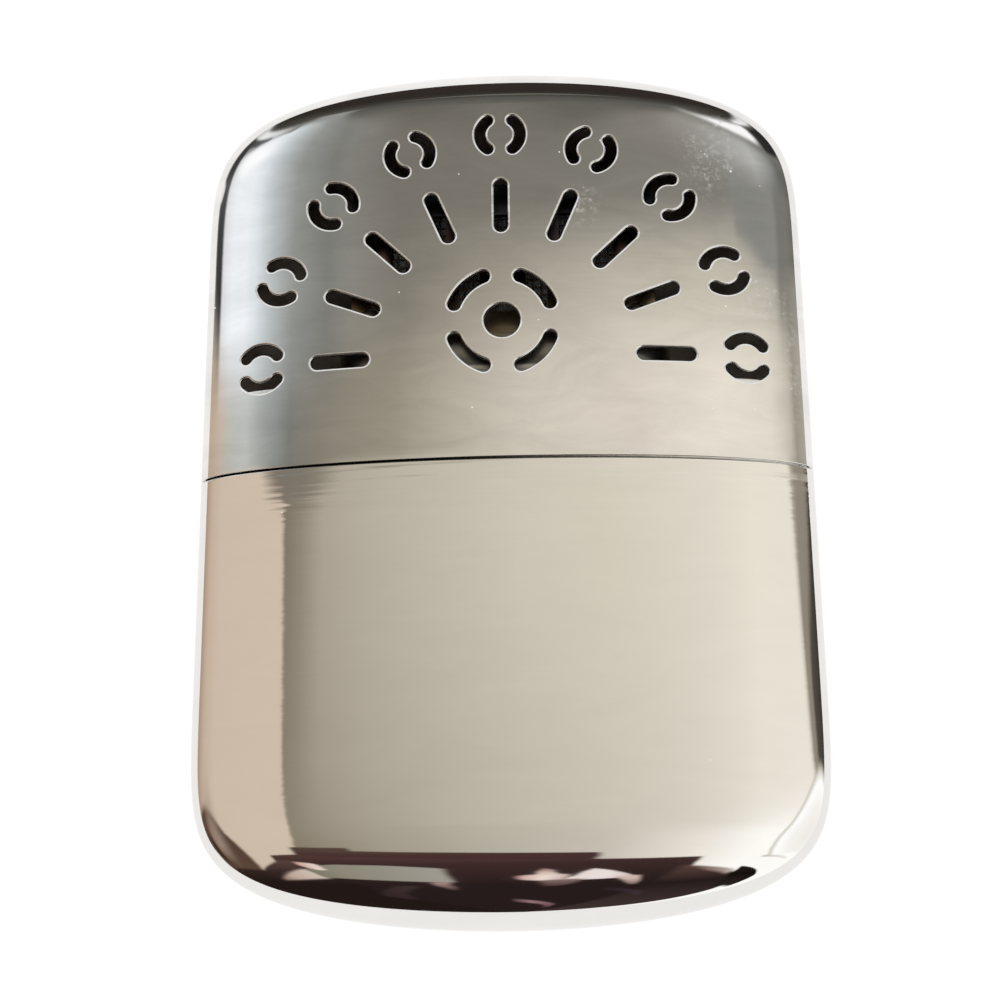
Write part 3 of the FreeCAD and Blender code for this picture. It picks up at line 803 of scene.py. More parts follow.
@dataclass
class VentedCap(DrawnShell):
    """The cap: a drawn shell whose front is punched with vents, each with a rolled-over lip.

    The front is a web of evenly spread places.  The margins, as shares of their spacing, are how far the web
    stays from the mouth, from the end's rounding, from the sides and from the vents.
    """

    fan: VentFan = field(default_factory=VentFan)
    first_open_column: int = 17
    lip_radius: float = 0.25
    lip_turns: tuple[float, ...] = (20.0, 40.0, 60.0, 78.0, 90.0)
    face_spacing: float = 0.8
    inner_spacing: float = 1.3
    mouth_margin: float = 0.7
    end_margin: float = 0.5
    side_margin: float = 0.6
    vent_margin: float = 0.4

    def __post_init__(self) -> None:
        """Work out the vents and their outlines."""
        self.vents = self.fan.vents()
        self.outlines = [vent.outline() for vent in self.vents]
        self.rings: dict[Face, list[Row]] = {}

    def open_columns(self) -> range:
        """The columns of the front face that the vents lie in."""
        return range(self.first_open_column, self.columns // 2 - self.first_open_column)

    def opening(self, form: OvalForm, first: float, second: float) -> Optional[range]:
        """See DrawnShell: all of the front from the end's rounding to the mouth."""
        edge = form.tip + form.inward * form.end_depth
        return self.open_columns() if max(first, second) <= edge + TINY else None

    def fill_opening(self, draft: MeshDraft, form: OvalForm, rows: Sequence[Row], stations: Sequence[float],
                     face: Face) -> None:
        """See DrawnShell: a fine web of triangles round the vents.

        Args:
            draft: Where the faces go.
            form: The surface's form.
            rows: The rows beside it.
            stations: The rows' places.
            face: Which surface it is.
        """
        edge = form.tip + form.inward * form.end_depth
        outside = face is Face.OUTSIDE
        offset = self.lip_radius if outside else 0.0
        spacing = self.face_spacing if outside else self.inner_spacing
        self.rings[face] = []
        for points, away in self.outlines:
            places, normals = form.front(points + offset * away)
            self.rings[face].append(draft.row(places, face.way * normals))
        border = self.border([row for row, along in zip(rows, stations) if along <= edge + TINY])
        loops = [border] + [ring.points for ring in self.rings[face]]
        places, normals = form.front(self.web_places(form, stations[-1], edge, spacing, offset))
        loose = draft.row(places, face.way * normals)
        indices = np.concatenate([*loops, loose.points])
        plan = draft.places()[indices][:, :2]
        triangles = self.web(plan, loops, offset)
        _, corner_normals = form.front(plan)
        draft.add_faces(indices[triangles], face.way * corner_normals[triangles], face)

    def border(self, rows: Sequence[Row]) -> Array:
        """The points round the opening, from the rows that cross it, the one next to the cap's end first.

        Args:
            rows: The rows.

        Returns:
            The numbers of the points in order.
        """
        columns = list(self.open_columns()) + [self.open_columns().stop]
        found = [rows[0].points[column] for column in columns]
        found += [row.points[columns[-1]] for row in rows[1:]]
        found += [rows[-1].points[column] for column in reversed(columns[:-1])]
        found += [row.points[columns[0]] for row in reversed(rows[1:-1])]
        return np.array(found)

    def web_places(self, form: OvalForm, low: float, high: float, spacing: float, offset: float) -> Array:
        """Evenly spread places in plan, clear of the vents and of the opening's edge.

        Args:
            form: The surface.
            low: Where the opening starts, at the mouth.
            high: Where it ends, at the end's rounding.
            spacing: How far the places lie apart.
            offset: How far the web's edge lies outside each vent's edge.

        Returns:
            The places.
        """
        rows = np.arange(low + self.mouth_margin * spacing, high - self.end_margin * spacing,
                         spacing * math.sqrt(3) / 2)
        reach = math.ceil(form.half_width / spacing) * spacing
        found = []
        for number, along in enumerate(rows):
            across = np.arange(-reach + (spacing / 2 if number % 2 else 0.0), reach, spacing)
            found.append(np.stack([across, np.full(len(across), along)], 1))
        places = np.concatenate(found)
        limit = math.cos(2 * math.pi * self.first_open_column / self.columns)
        width = form.section(places[:, 1])[0] * limit - self.side_margin * spacing
        places = places[np.abs(places[:, 0]) < width]
        clear = np.min([vent.gap(places) for vent in self.vents], axis=0)
        return places[clear > offset + self.vent_margin * spacing]

    def web(self, plan: Array, loops: Sequence[Array], offset: float) -> Array:
        """Triangles that join the web's places, without those inside the vents.

        Args:
            plan: Every place in plan, the loops' first.
            loops: The points of the border and then of each vent's edge.
            offset: How far the web's edge lies outside each vent's edge.

        Returns:
            Three numbers of places for each triangle.
        """
        edges, start = [], 0
        for loop in loops:
            edges += [(start + step, start + (step + 1) % len(loop)) for step in range(len(loop))]
            start += len(loop)
        result = delaunay_2d_cdt([Vector(place) for place in plan], edges, [], 0, TINY / 10, True)
        triangles = np.array([[result[3][corner][0] for corner in face] for face in result[2]])
        owners = np.full(len(plan), -1)
        owners[:start] = np.repeat(np.arange(len(loops)), [len(loop) for loop in loops])
        middles = plan[triangles].mean(axis=1)
        keep = np.ones(len(triangles), bool)
        for number, vent in enumerate(self.vents, start=1):
            own = np.where((owners[triangles] == number).all(axis=1))[0]
            keep[own[vent.gap(middles[own]) < offset]] = False
        return triangles[keep]

    def punch(self, draft: MeshDraft) -> None:
        """See DrawnShell: a rolled lip and a short wall round each vent.

        Args:
            draft: Where the faces go.
        """
        for number, (points, away) in enumerate(self.outlines):
            flat = np.stack([-away[:, 0], -away[:, 1], np.zeros(len(away))], 1)
            row = self.rings[Face.OUTSIDE][number]
            for turn in self.lip_turns:
                lean = math.radians(turn)
                spread = self.lip_radius * (1 - math.sin(lean))
                places, normals = self.form.front(points + spread * away)
                places[:, 2] -= self.lip_radius * (1 - math.cos(lean))
                following = draft.row(places, math.cos(lean) * normals + math.sin(lean) * flat)
                draft.strip(row, following, Face.LIP)
                row = following
            draft.strip(row, self.rings[Face.INSIDE][number].facing(flat), Face.INSIDE)


# ----- Collar, neck and the packing that holds the fuel -----


@dataclass
class Collar:
    """The collar that closes the tank, with an oval hole in its roof for the neck."""

    half_width: float = 33.17
    half_thickness: float = 6.42
    foot: float = -6.1
    top: float = 9.7
    wall: float = 0.45
    edge_radius: float = 0.28
    foot_radius: float = 0.12
    roof_bend: float = 0.5
    hole_half_width: float = 18.02
    hole_half_thickness: float = 4.62

    def outer(self, inset: float) -> Loop:
        """The outside's loop, drawn in by a distance."""
        return oval_loop(self.half_width - inset, self.half_thickness - inset)

    def inner(self, inset: float) -> Loop:
        """The inside's loop, drawn in by a distance."""
        return self.outer(self.wall + inset)

    def build(self, finish: Material) -> Piece:
        """Make the collar.

        Args:
            finish: Its finish.

        Returns:
            The new object.
        """
        draft = MeshDraft("collar")
        hole = cornered_loop(self.hole_half_width, self.hole_half_thickness, self.hole_half_thickness)
        roof = self.top - self.wall
        steps = [*rounding(self.outer, self.foot, self.foot_radius, -90, 0, pieces=3),
                 *rounding(self.outer, self.top, self.edge_radius, 0, 90, pieces=8),
                 Step(hole, self.top, 90, 180), Step(hole, roof, 180, -90),
                 Step(self.inner(self.roof_bend), roof, -90, 180),
                 Step(self.inner(0.0), roof - self.roof_bend, 180),
                 *rounding(self.inner, self.foot, self.foot_radius, -180, -90, pieces=3)]
        loft(draft, steps)
        return draft.build([finish], Body.TANK, "collar_plate", ["tank_collar"])


@dataclass
class FillerNeck:
    """The oval filler neck, flanged under the collar's roof, with a rolled mouth."""

    half_width: float = 18.0
    half_thickness: float = 4.6
    wall: float = 0.5
    foot: float = 8.75
    top: float = 14.7
    flange_width: float = 0.7
    flange_thickness: float = 0.5
    lip_radius: float = 0.24

    def outer(self, inset: float) -> Loop:
        """The outside's loop, drawn in by a distance."""
        half = self.half_thickness - inset
        return cornered_loop(self.half_width - inset, half, half)

    def inner(self, inset: float) -> Loop:
        """The bore's loop, drawn in by a distance."""
        return self.outer(self.wall + inset)

    def build(self, finish: Material) -> Piece:
        """Make the neck.

        Args:
            finish: Its finish.

        Returns:
            The new object.
        """
        draft = MeshDraft("filler_neck_tube")
        flange = self.outer(-self.flange_width)
        shoulder = self.foot + self.flange_thickness
        steps = [Step(flange, self.foot, -90, 0), Step(flange, shoulder, 0, 90),
                 Step(self.outer(0), shoulder, 90, 0),
                 *rounding(self.outer, self.top, self.lip_radius, 0, 90, pieces=5),
                 *rounding(self.inner, self.top, self.lip_radius, 90, 180, pieces=5),
                 Step(self.inner(0), self.foot, 180, -90)]
        loft(draft, steps)
        return draft.build([finish], Body.TANK, "neck_metal", ["filler_neck"])


@dataclass
class SoftBlock:
    """A block of soft stuff: a box with rounded edges whose surface is gently uneven.

    The surface is pressed in by `lumps` times how far the stuff there swells less than `full_swell`, up to
    `most_pressed`.
    """

    name: str
    node: str
    low: Point
    high: Point
    radius: float
    spacing: float
    lumps: float
    lump_size: float
    body: Body
    slot: str
    fill: float
    full_swell: float = 1.0
    most_pressed: float = 2.0
    fewest_cells: int = 4

    def build(self, finish: Material) -> Piece:
        """Make the block.

        Args:
            finish: Its finish.

        Returns:
            The new object.
        """
        low, high = Vector(self.low), Vector(self.high)
        half, middle = (high - low) / 2, (high + low) / 2
        cells = [max(self.fewest_cells, round(2 * size / self.spacing)) for size in half]
        work = bmesh.new()
        found: dict[tuple[int, int, int], bmesh.types.BMVert] = {}

        def corner(place: tuple[int, int, int]) -> bmesh.types.BMVert:
            """The point at a place of the block's grid, rounded and made uneven.

            Args:
                place: Steps along each axis.

            Returns:
                The point.
            """
            if place not in found:
                raw = Vector(2 * half[axis] * place[axis] / cells[axis] - half[axis] for axis in range(3))
                core = Vector(max(-half[axis] + self.radius, min(half[axis] - self.radius, raw[axis]))
                              for axis in range(3))
                away = (raw - core).normalized()
                point = middle + core + away * self.radius
                rise = lumpiness(point, self.lump_size) - self.full_swell
                rise = max(-self.most_pressed, min(0.0, rise))
                found[place] = work.verts.new((point + away * self.lumps * rise) * MM)
            return found[place]

        for axis in range(3):
            across, up = (axis + 1) % 3, (axis + 2) % 3
            for side in (0, cells[axis]):
                for first in range(cells[across]):
                    for second in range(cells[up]):
                        ring = []
                        for step_a, step_b in ((0, 0), (1, 0), (1, 1), (0, 1)):
                            place = [0, 0, 0]
                            place[axis], place[across], place[up] = side, first + step_a, second + step_b
                            ring.append(corner(tuple(place)))
                        work.faces.new(ring if side else ring[::-1])
        piece = add_piece(smooth_mesh(self.name, work), [finish], self.body, self.slot, [self.node])
        return piece


@dataclass
class TankWad:
    """A wad of cotton that follows the body's oval, with a soft uneven surface."""

    name: str
    node: str
    form: OvalForm
    foot: float
    top: float
    edge: float = 1.6
    edge_turn: float = 15.0
    tip_lead: float = 1.0
    straight_rows: int = 12
    lumps: float = 0.35
    lump_size: float = 5.0
    full_swell: float = 0.4
    columns: int = 120
    fill: float = 0.7

    def build(self, finish: Material) -> Piece:
        """Make the wad.

        Args:
            finish: Its finish.

        Returns:
            The new object.
        """
        draft = MeshDraft(self.name)
        rows = []
        for along, inset in self.profile():
            places, normals = self.form.drawn_in(inset).ring(along, self.columns)
            rows.append(draft.row(self.uneven(places, normals), normals))
        for low, high in zip(rows, rows[1:]):
            draft.strip(low, high)
        tip = self.foot if self.closed_foot() else self.form.tip
        draft.close(rows[0], (0.0, tip, MID_PLANE), (0.0, -1.0, 0.0))
        draft.close(rows[-1], (0.0, self.top - self.lumps, MID_PLANE), (0.0, 1.0, 0.0))
        piece = draft.build([finish], Body.TANK, "cotton", [self.node])
        return piece

    def closed_foot(self) -> bool:
        """Whether the wad starts on the straight length of the body rather than at its tip."""
        return self.foot > self.form.tip + self.form.reach

    def profile(self) -> list[tuple[float, float]]:
        """The place along the warmer of each row, and how far it is drawn in.

        Returns:
            The rows in order.
        """
        turns = np.radians(np.arange(self.edge_turn, 91, self.edge_turn))
        edge = [(self.edge * (1 - math.sin(turn)), self.edge * (1 - math.cos(turn))) for turn in turns]
        top = [(self.top - back, inset) for back, inset in edge]
        if self.closed_foot():
            low = [(self.foot + back, inset) for back, inset in reversed(edge)]
        else:
            stations = self.form.stations(self.form.tip + self.form.reach + self.tip_lead,
                                          end_turn=7.5, shoulder_rows=16, straight_rows=1)
            low = [(along, 0.0) for along in stations]
        middle = np.linspace(low[-1][0], top[0][0], self.straight_rows + 2)[1:-1]
        return [*low, *((along, 0.0) for along in middle), *top]

    def uneven(self, places: Array, normals: Array) -> Array:
        """Press the surface in here and there, never out.

        Args:
            places: The even surface.
            normals: Its normals.

        Returns:
            The pressed places.
        """
        depths = [self.lumps * min(0.0, lumpiness(Vector(place), self.lump_size) - self.full_swell)
                  for place in places]
        return places + normals * np.array(depths)[:, None]


# ----- The burner -----


@dataclass
class EasedPart:
    """A pressed part of the burner: the CAD node's own shape with its cut edges eased.

    Points nearer than `weld` become one, and so do faces that turn less than `flat_turn`.  Edges that turn
    more than `cut_turn` are eased, and those that then still turn more than `sharp_turn` look sharp.
    """

    name: str
    node: str
    slot: str
    ease: float
    segments: int = 2
    weld: float = 0.002
    flat_turn: float = 1.0
    cut_turn: float = 35.0
    sharp_turn: float = 28.0

    def build(self, finish: Material) -> Piece:
        """Make the part.

        Args:
            finish: Its finish.

        Returns:
            The new object.
        """
        work = bmesh.new()
        work.from_mesh(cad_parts[self.node].data)
        bmesh.ops.remove_doubles(work, verts=work.verts, dist=self.weld * MM)
        bmesh.ops.dissolve_limit(work, angle_limit=math.radians(self.flat_turn), verts=work.verts,
                                 edges=work.edges)
        cut = [edge for edge in work.edges
               if len(edge.link_faces) == 2 and edge.calc_face_angle(0.0) > math.radians(self.cut_turn)]
        bmesh.ops.bevel(work, geom=cut, offset=self.ease * MM, segments=self.segments, profile=0.5,
                        affect="EDGES", clamp_overlap=True)
        bmesh.ops.triangulate(work, faces=[face for face in work.faces if len(face.verts) > 4])
        mesh = smooth_mesh(self.name, work)
        mesh.set_sharp_from_angle(angle=math.radians(self.sharp_turn))
        return add_piece(mesh, [finish], Body.BURNER, self.slot, [self.node])


@dataclass
class WovenScreen:
    """A gauze of crossing wires."""

    name: str
    node: str
    middle: float
    half_width: float = 13.3
    low: float = 15.86
    high: float = 33.26
    wire_radius: float = 0.075
    pitch: float = 0.95
    pieces: int = 4
    corners: int = 5

    def build(self, finish: Material) -> Piece:
        """Make the gauze.

        Args:
            finish: Its finish.

        Returns:
            The new object.
        """
        points: list[Point] = []
        faces: list[tuple[int, ...]] = []
        height = self.high - self.low
        columns = int((2 * self.half_width - 2 * self.wire_radius) / self.pitch)
        rows = int((height - 2 * self.wire_radius) / self.pitch)
        for number in range(columns + 1):
            across = (number - columns / 2) * self.pitch
            self.wire(points, faces, rows, height, number % 2,
                      lambda run, rise, out, x=across: (x + out, self.low + run, self.middle + rise))
        for number in range(rows + 1):
            along = self.low + height / 2 + (number - rows / 2) * self.pitch
            self.wire(points, faces, columns, 2 * self.half_width, (number + 1) % 2,
                      lambda run, rise, out, y=along: (run - self.half_width, y + out, self.middle + rise))
        mesh = bpy.data.meshes.new(self.name)
        mesh.from_pydata([Vector(point) * MM for point in points], [], faces)
        mesh.polygons.foreach_set("use_smooth", [True] * len(faces))
        return add_piece(mesh, [finish], Body.BURNER, "screen_wire", [self.node])

    def wire(self, points: list, faces: list, crossings: int, length: float, phase: int,
             place: Callable[[float, float, float], Point]) -> None:
        """Add one wire that passes over and under the wires it crosses.

        Args:
            points: Where its points go.
            faces: Where its faces go.
            crossings: How many spaces lie between the first and last wire that it crosses.
            length: Its length.
            phase: 0 where it passes over the first wire, 1 where it passes under.
            place: Turns a distance along the wire, a rise and a sideways step into a point.
        """
        start = len(points)
        lead = (length - crossings * self.pitch) / 2
        steps = range(self.pieces * crossings + 1)
        stops = [0.0, *(lead + self.pitch * step / self.pieces for step in steps), length]
        for run in stops:
            wave = math.cos(math.pi * ((run - lead) / self.pitch + phase)) * self.wire_radius
            for corner in range(self.corners):
                turn = 2 * math.pi * corner / self.corners + math.pi / 2
                points.append(place(run, wave + self.wire_radius * math.sin(turn),
                                    self.wire_radius * math.cos(turn)))
        for stop in range(len(stops) - 1):
            for corner in range(self.corners):
                after = (corner + 1) % self.corners
                low, high = start + stop * self.corners, start + (stop + 1) * self.corners
                faces.append((low + corner, low + after, high + after, high + corner))
        last = start + (len(stops) - 1) * self.corners
        faces.append(tuple(start + corner for corner in reversed(range(self.corners))))
        faces.append(tuple(last + corner for corner in range(self.corners)))


@dataclass
class Rivets:
    """The four clinched rivets, with domed heads."""

    across: float = 14.65
    lower: float = 18.26
    upper: float = 30.86
    shank_radius: float = 0.6
    head_radius: float = 1.1
    head_height: float = 0.4
    rim_height: float = 0.1
    grip: float = 3.1
    dome_turns: tuple[float, ...] = (20.0, 40.0, 58.0, 74.0, 90.0)
    columns: int = 24
    sharp_turn: float = 40.0

    def profile(self) -> list[tuple[float, float]]:
        """Radius and height over the mid-plane, from the middle of the front head to the rear one's.

        Returns:
            The radii and heights in order.
        """
        rim, rise = self.grip + self.rim_height, self.head_height - self.rim_height
        turns = [math.radians(turn) for turn in self.dome_turns]
        dome = [(self.head_radius * math.sin(turn), rim + rise * math.cos(turn)) for turn in turns]
        front = [*dome, (self.head_radius, self.grip), (self.shank_radius, self.grip)]
        return front + [(radius, -height) for radius, height in reversed(front)]

    def build(self, finish: Material) -> Piece:
        """Make the rivets as one piece.

        Args:
            finish: Its finish.

        Returns:
            The new object.
        """
        work = bmesh.new()
        for across in (-self.across, self.across):
            for along in (self.lower, self.upper):
                self.add_rivet(work, across, along)
        mesh = smooth_mesh("rivets", work)
        mesh.set_sharp_from_angle(angle=math.radians(self.sharp_turn))
        return add_piece(mesh, [finish], Body.BURNER, "rivet_metal", ["burner_rivets"])

    def add_rivet(self, work: bmesh.types.BMesh, across: float, along: float) -> None:
        """Add the rivet whose middle is at a place in plan.

        Args:
            work: Where it goes.
            across: Its X.
            along: Its Y.
        """
        turns = [2 * math.pi * step / self.columns for step in range(self.columns)]
        ways = [Vector((math.cos(turn), math.sin(turn), 0.0)) for turn in turns]
        rings = []
        for radius, height in self.profile():
            middle = Vector((across, along, MID_PLANE + height))
            rings.append([work.verts.new((middle + radius * way) * MM) for way in ways])
        for upper, under in zip(rings, rings[1:]):
            for step in range(self.columns):
                after = (step + 1) % self.columns
                work.faces.new((upper[step], under[step], under[after], upper[after]))
        for ring, way in ((rings[0], 1), (rings[-1], -1)):
            height = MID_PLANE + way * (self.grip + self.head_height)
            top = work.verts.new(Vector((across, along, height)) * MM)
            for step in range(self.columns):
                corners = (ring[step], ring[(step + 1) % self.columns], top)
                work.faces.new(corners if way > 0 else corners[::-1])


# ----- Finishes -----


class Graph:
    """Makes and joins the nodes of one tree."""

    def __init__(self, tree: Tree) -> None:
        """Work on a tree."""
        self.tree = tree

    def node(self, kind: str, inputs: Optional[dict] = None, **settings: object) -> bpy.types.Node:
        """Add a node.

        Args:
            kind: Its type name, without the leading "ShaderNode" where it has one.
            inputs: Values or sockets for its inputs, by name or number.
            settings: Its own settings.

        Returns:
            The node.
        """
        made = self.tree.nodes.new(kind if kind.startswith("Node") else "ShaderNode" + kind)
        for name, setting in settings.items():
            setattr(made, name, setting)
        for key, value in (inputs or {}).items():
            self.feed(value, made.inputs[key])
        return made

    def feed(self, value: object, socket: Socket) -> None:
        """Link a socket to another, or set its value.

        Args:
            value: The socket or value.
            socket: The input.
        """
        if isinstance(value, Socket):
            self.tree.links.new(value, socket)
        else:
            socket.default_value = value

    def math(self, operation: str, first: object, second: object = 0.0,
             clamp: bool = False) -> Socket:
        """A Math node's result."""
        return self.node("Math", {0: first, 1: second}, operation=operation, use_clamp=clamp).outputs[0]

    def times(self, first: object, second: object) -> Socket:
        """The product of two numbers."""
        return self.math("MULTIPLY", first, second)

    def vector(self, operation: str, first: object, second: object = (0.0, 0.0, 0.0)) -> Socket:
        """A Vector Math node's vector."""
        return self.node("VectorMath", {0: first, 1: second}, operation=operation).outputs[0]

    def part(self, vector: object, axis: int) -> Socket:
        """A vector's X, Y or Z, by number."""
        return self.node("SeparateXYZ", {0: vector}).outputs[axis]

    def cloud(self, place: object, scale: object, detail: float, roughness: float = 0.5,
              distortion: float = 0.0) -> bpy.types.Node:
        """A noise texture."""
        return self.node("TexNoise", {"Vector": place, "Scale": scale, "Detail": detail,
                                      "Roughness": roughness, "Distortion": distortion})

    def ease(self, value: object, start: float, finish: float, low: float = 0.0, high: float = 1.0,
             kind: str = "SMOOTHSTEP") -> Socket:
        """A value carried from one range to another."""
        return self.node("MapRange", {"Value": value, "From Min": start, "From Max": finish,
                                      "To Min": low, "To Max": high}, interpolation_type=kind).outputs[0]

    def mix(self, share: object, first: object, second: object, blend: str = "MIX") -> Socket:
        """A mix of two colours, which a Mix node takes as inputs 6 and 7 and gives as output 2."""
        made = self.node("Mix", {0: share, 6: first, 7: second}, data_type="RGBA", blend_type=blend)
        return made.outputs[2]

    def ramp(self, value: object, stops: Sequence[tuple[float, Colour]]) -> Socket:
        """A colour ramp over a value from 0 to 1.

        Args:
            value: The value.
            stops: The place and colour of each stop.

        Returns:
            The colour.
        """
        made = self.node("ValToRGB", {0: value})
        elements = made.color_ramp.elements
        while len(elements) < len(stops):
            elements.new(0.5)
        for element, (position, colour) in zip(elements, stops):
            element.position = position
            element.color = (*colour, 1.0)
        return made.outputs[0]


def solid(colour: Colour) -> tuple[float, float, float, float]:
    """A colour with full alpha."""
    return (*colour, 1.0)


class Effects:
    """Effects that several finishes share, each a node group that is built once."""

    def __init__(self) -> None:
        """Build every group."""
        self.polish = self.build_polish()
        self.specks = self.build_specks()
        self.smudges = self.build_smudges()
        self.fibres = self.build_fibres()
        self.heat = self.build_heat()

    @staticmethod
    def start(name: str, inputs: dict[str, float],
              outputs: dict[str, str]) -> tuple[Tree, Graph, Sequence[Socket], Sequence[Socket]]:
        """Begin a group.

        Args:
            name: Its name.
            inputs: The default of each number that it takes besides the place on the surface.
            outputs: The socket type of each output.

        Returns:
            The group, a graph to build it with, what it is given and what it makes.
        """
        group = bpy.data.node_groups.new(name, "ShaderNodeTree")
        group.interface.new_socket("Place", in_out="INPUT", socket_type="NodeSocketVector")
        for label, default in inputs.items():
            socket = group.interface.new_socket(label, in_out="INPUT", socket_type="NodeSocketFloat")
            socket.default_value = default
        for label, kind in outputs.items():
            group.interface.new_socket(label, in_out="OUTPUT", socket_type=kind)
        graph = Graph(group)
        return group, graph, graph.node("NodeGroupInput").outputs, graph.node("NodeGroupOutput").inputs

    def build_polish(self) -> Tree:
        """Fine polishing lines that run across the body, stronger in some bands than in others.

        The group tilts the surface's normal sideways and endways by slopes, and gives the bands as a mask.

        Returns:
            The group.
        """
        group, graph, given, made = self.start(
            "polishing_lines", {"Length": 60.0, "Fineness": 2400.0, "Sideways": 0.03, "Endways": 0.02,
                                "Strength": 1.0},
            {"Bands": "NodeSocketFloat", "Normal": "NodeSocketVector"})
        scale = graph.node("CombineXYZ", {0: given["Length"], 1: given["Fineness"],
                                          2: given["Length"]}).outputs[0]
        stretched = graph.vector("MULTIPLY", given["Place"], scale)
        lines = graph.cloud(stretched, 1.0, 2.0, roughness=0.6).outputs["Color"]
        slower = graph.vector("MULTIPLY", stretched, (0.6, 0.1, 0.6))
        bands = graph.ease(graph.cloud(slower, 1.0, 3.0, roughness=0.55).outputs[0], 0.35, 0.65)
        most = graph.node("CombineXYZ", {0: given["Sideways"], 1: given["Endways"]}).outputs[0]
        tilt = graph.vector("MULTIPLY", graph.vector("SUBTRACT", lines, (0.5, 0.5, 0.5)), most)
        strength = graph.ease(bands, 0.0, 1.0, 0.2, 1.0, "LINEAR")
        strength = graph.times(strength, given["Strength"])
        tilt = graph.node("VectorMath", {0: tilt, "Scale": strength}, operation="SCALE").outputs[0]
        facing = graph.vector("ADD", graph.node("NewGeometry").outputs["Normal"], tilt)
        graph.feed(bands, made["Bands"])
        graph.feed(graph.vector("NORMALIZE", facing), made["Normal"])
        return group

    def build_specks(self) -> Tree:
        """Sparse small specks, such as dust or pits in plate.

        Returns:
            The group.
        """
        group, graph, given, made = self.start("specks", {"Scale": 260.0, "Size": 0.05, "Share": 0.1},
                                               {"Specks": "NodeSocketFloat"})
        cells = graph.node("TexVoronoi", {"Vector": given["Place"], "Scale": given["Scale"]})
        tint = graph.node("SeparateColor", {0: cells.outputs["Color"]})
        chosen = graph.math("LESS_THAN", tint.outputs[0], given["Share"])
        size = graph.times(given["Size"], graph.math("ADD", tint.outputs[1], 0.4))
        inside = graph.math("LESS_THAN", cells.outputs["Distance"], size)
        graph.feed(graph.times(chosen, inside), made["Specks"])
        return group

    def build_smudges(self) -> Tree:
        """Faint wiped smudges, longer across the body than along it, around a half.

        Returns:
            The group.
        """
        group, graph, given, made = self.start("smudges", {"Scale": 210.0}, {"Smudges": "NodeSocketFloat"})
        wiped = graph.vector("MULTIPLY", given["Place"], (0.45, 1.25, 0.45))
        cloud = graph.cloud(wiped, given["Scale"], 6.0, roughness=0.62, distortion=0.7).outputs[0]
        graph.feed(graph.ease(cloud, 0.28, 0.72, kind="LINEAR"), made["Smudges"])
        return group

    def build_fibres(self) -> Tree:
        """Tangled fibres: a mottle for the colour and a height for the bump.

        Returns:
            The group.
        """
        group, graph, given, made = self.start("fibres", {"Scale": 900.0, "Tangle": 0.6},
                                               {"Mottle": "NodeSocketFloat", "Height": "NodeSocketFloat"})
        wander = graph.cloud(given["Place"], given["Scale"], 2.0,
                             distortion=given["Tangle"])
        bent = graph.node("VectorMath", {0: wander.outputs["Color"], 1: (0.0025, 0.0025, 0.0025),
                                         2: given["Place"]}, operation="MULTIPLY_ADD")
        strands = graph.node("TexWave", {"Vector": bent.outputs[0], "Scale": given["Scale"],
                                         "Distortion": 6.0, "Detail": 2.0})
        graph.feed(graph.ease(strands.outputs["Fac"], 0.1, 0.9), made["Height"])
        slow = graph.cloud(given["Place"], 180.0, 4.0)
        both = graph.math("ADD", graph.times(strands.outputs["Fac"], 0.5), graph.times(slow.outputs[0], 0.5))
        graph.feed(graph.ease(both, 0.25, 0.75), made["Mottle"])
        return group

    def build_heat(self) -> Tree:
        """Heat tint that deepens from the burner's base towards its top, in uneven patches.

        Returns:
            The group.
        """
        group, graph, given, made = self.start("heat_tint", {"Start": 0.012, "Full": 0.034, "Patches": 120.0},
                                               {"Tint": "NodeSocketFloat"})
        patches = graph.cloud(given["Place"], given["Patches"], 5.0, roughness=0.6).outputs[0]
        moved = graph.math("ADD", graph.part(given["Place"], 1),
                           graph.times(graph.math("SUBTRACT", patches, 0.5), 0.018))
        tint = graph.node("MapRange", {"Value": moved, "From Min": given["Start"],
                                       "From Max": given["Full"]})
        graph.feed(tint.outputs[0], made["Tint"])
        return group


class Finish:
    """A material in the making: its graph, its shader and the place on the surface."""

    def __init__(self, name: str) -> None:
        """Start a material with a plain Principled shader.

        Args:
            name: The material's name.
        """
        self.material = bpy.data.materials.new(name)
        self.material.use_nodes = True
        self.graph = Graph(self.material.node_tree)
        self.shader = self.material.node_tree.nodes["Principled BSDF"]
        self.place = self.graph.node("TexCoord").outputs["Object"]

    def effect(self, group: Tree, **values: float) -> bpy.types.Node:
        """Place a shared effect with its own values.

        Args:
            group: The effect.
            values: Its values, by name.

        Returns:
            The placed group.
        """
        made = self.graph.node("Group", node_tree=group)
        self.graph.feed(self.place, made.inputs["Place"])
        for label, value in values.items():
            made.inputs[label].default_value = value
        return made

    def set(self, **values: object) -> None:
        """Feed the shader's inputs; an underscore in a name stands for a space."""
        for label, value in values.items():
            self.graph.feed(value, self.shader.inputs[label.replace("_", " ")])

    def bump(self, height: object, distance: float) -> None:
        """Feed the shader's normal from a height."""
        made = self.graph.node("Bump", {"Strength": 1.0, "Distance": distance, "Height": height})
        self.set(Normal=made.outputs[0])


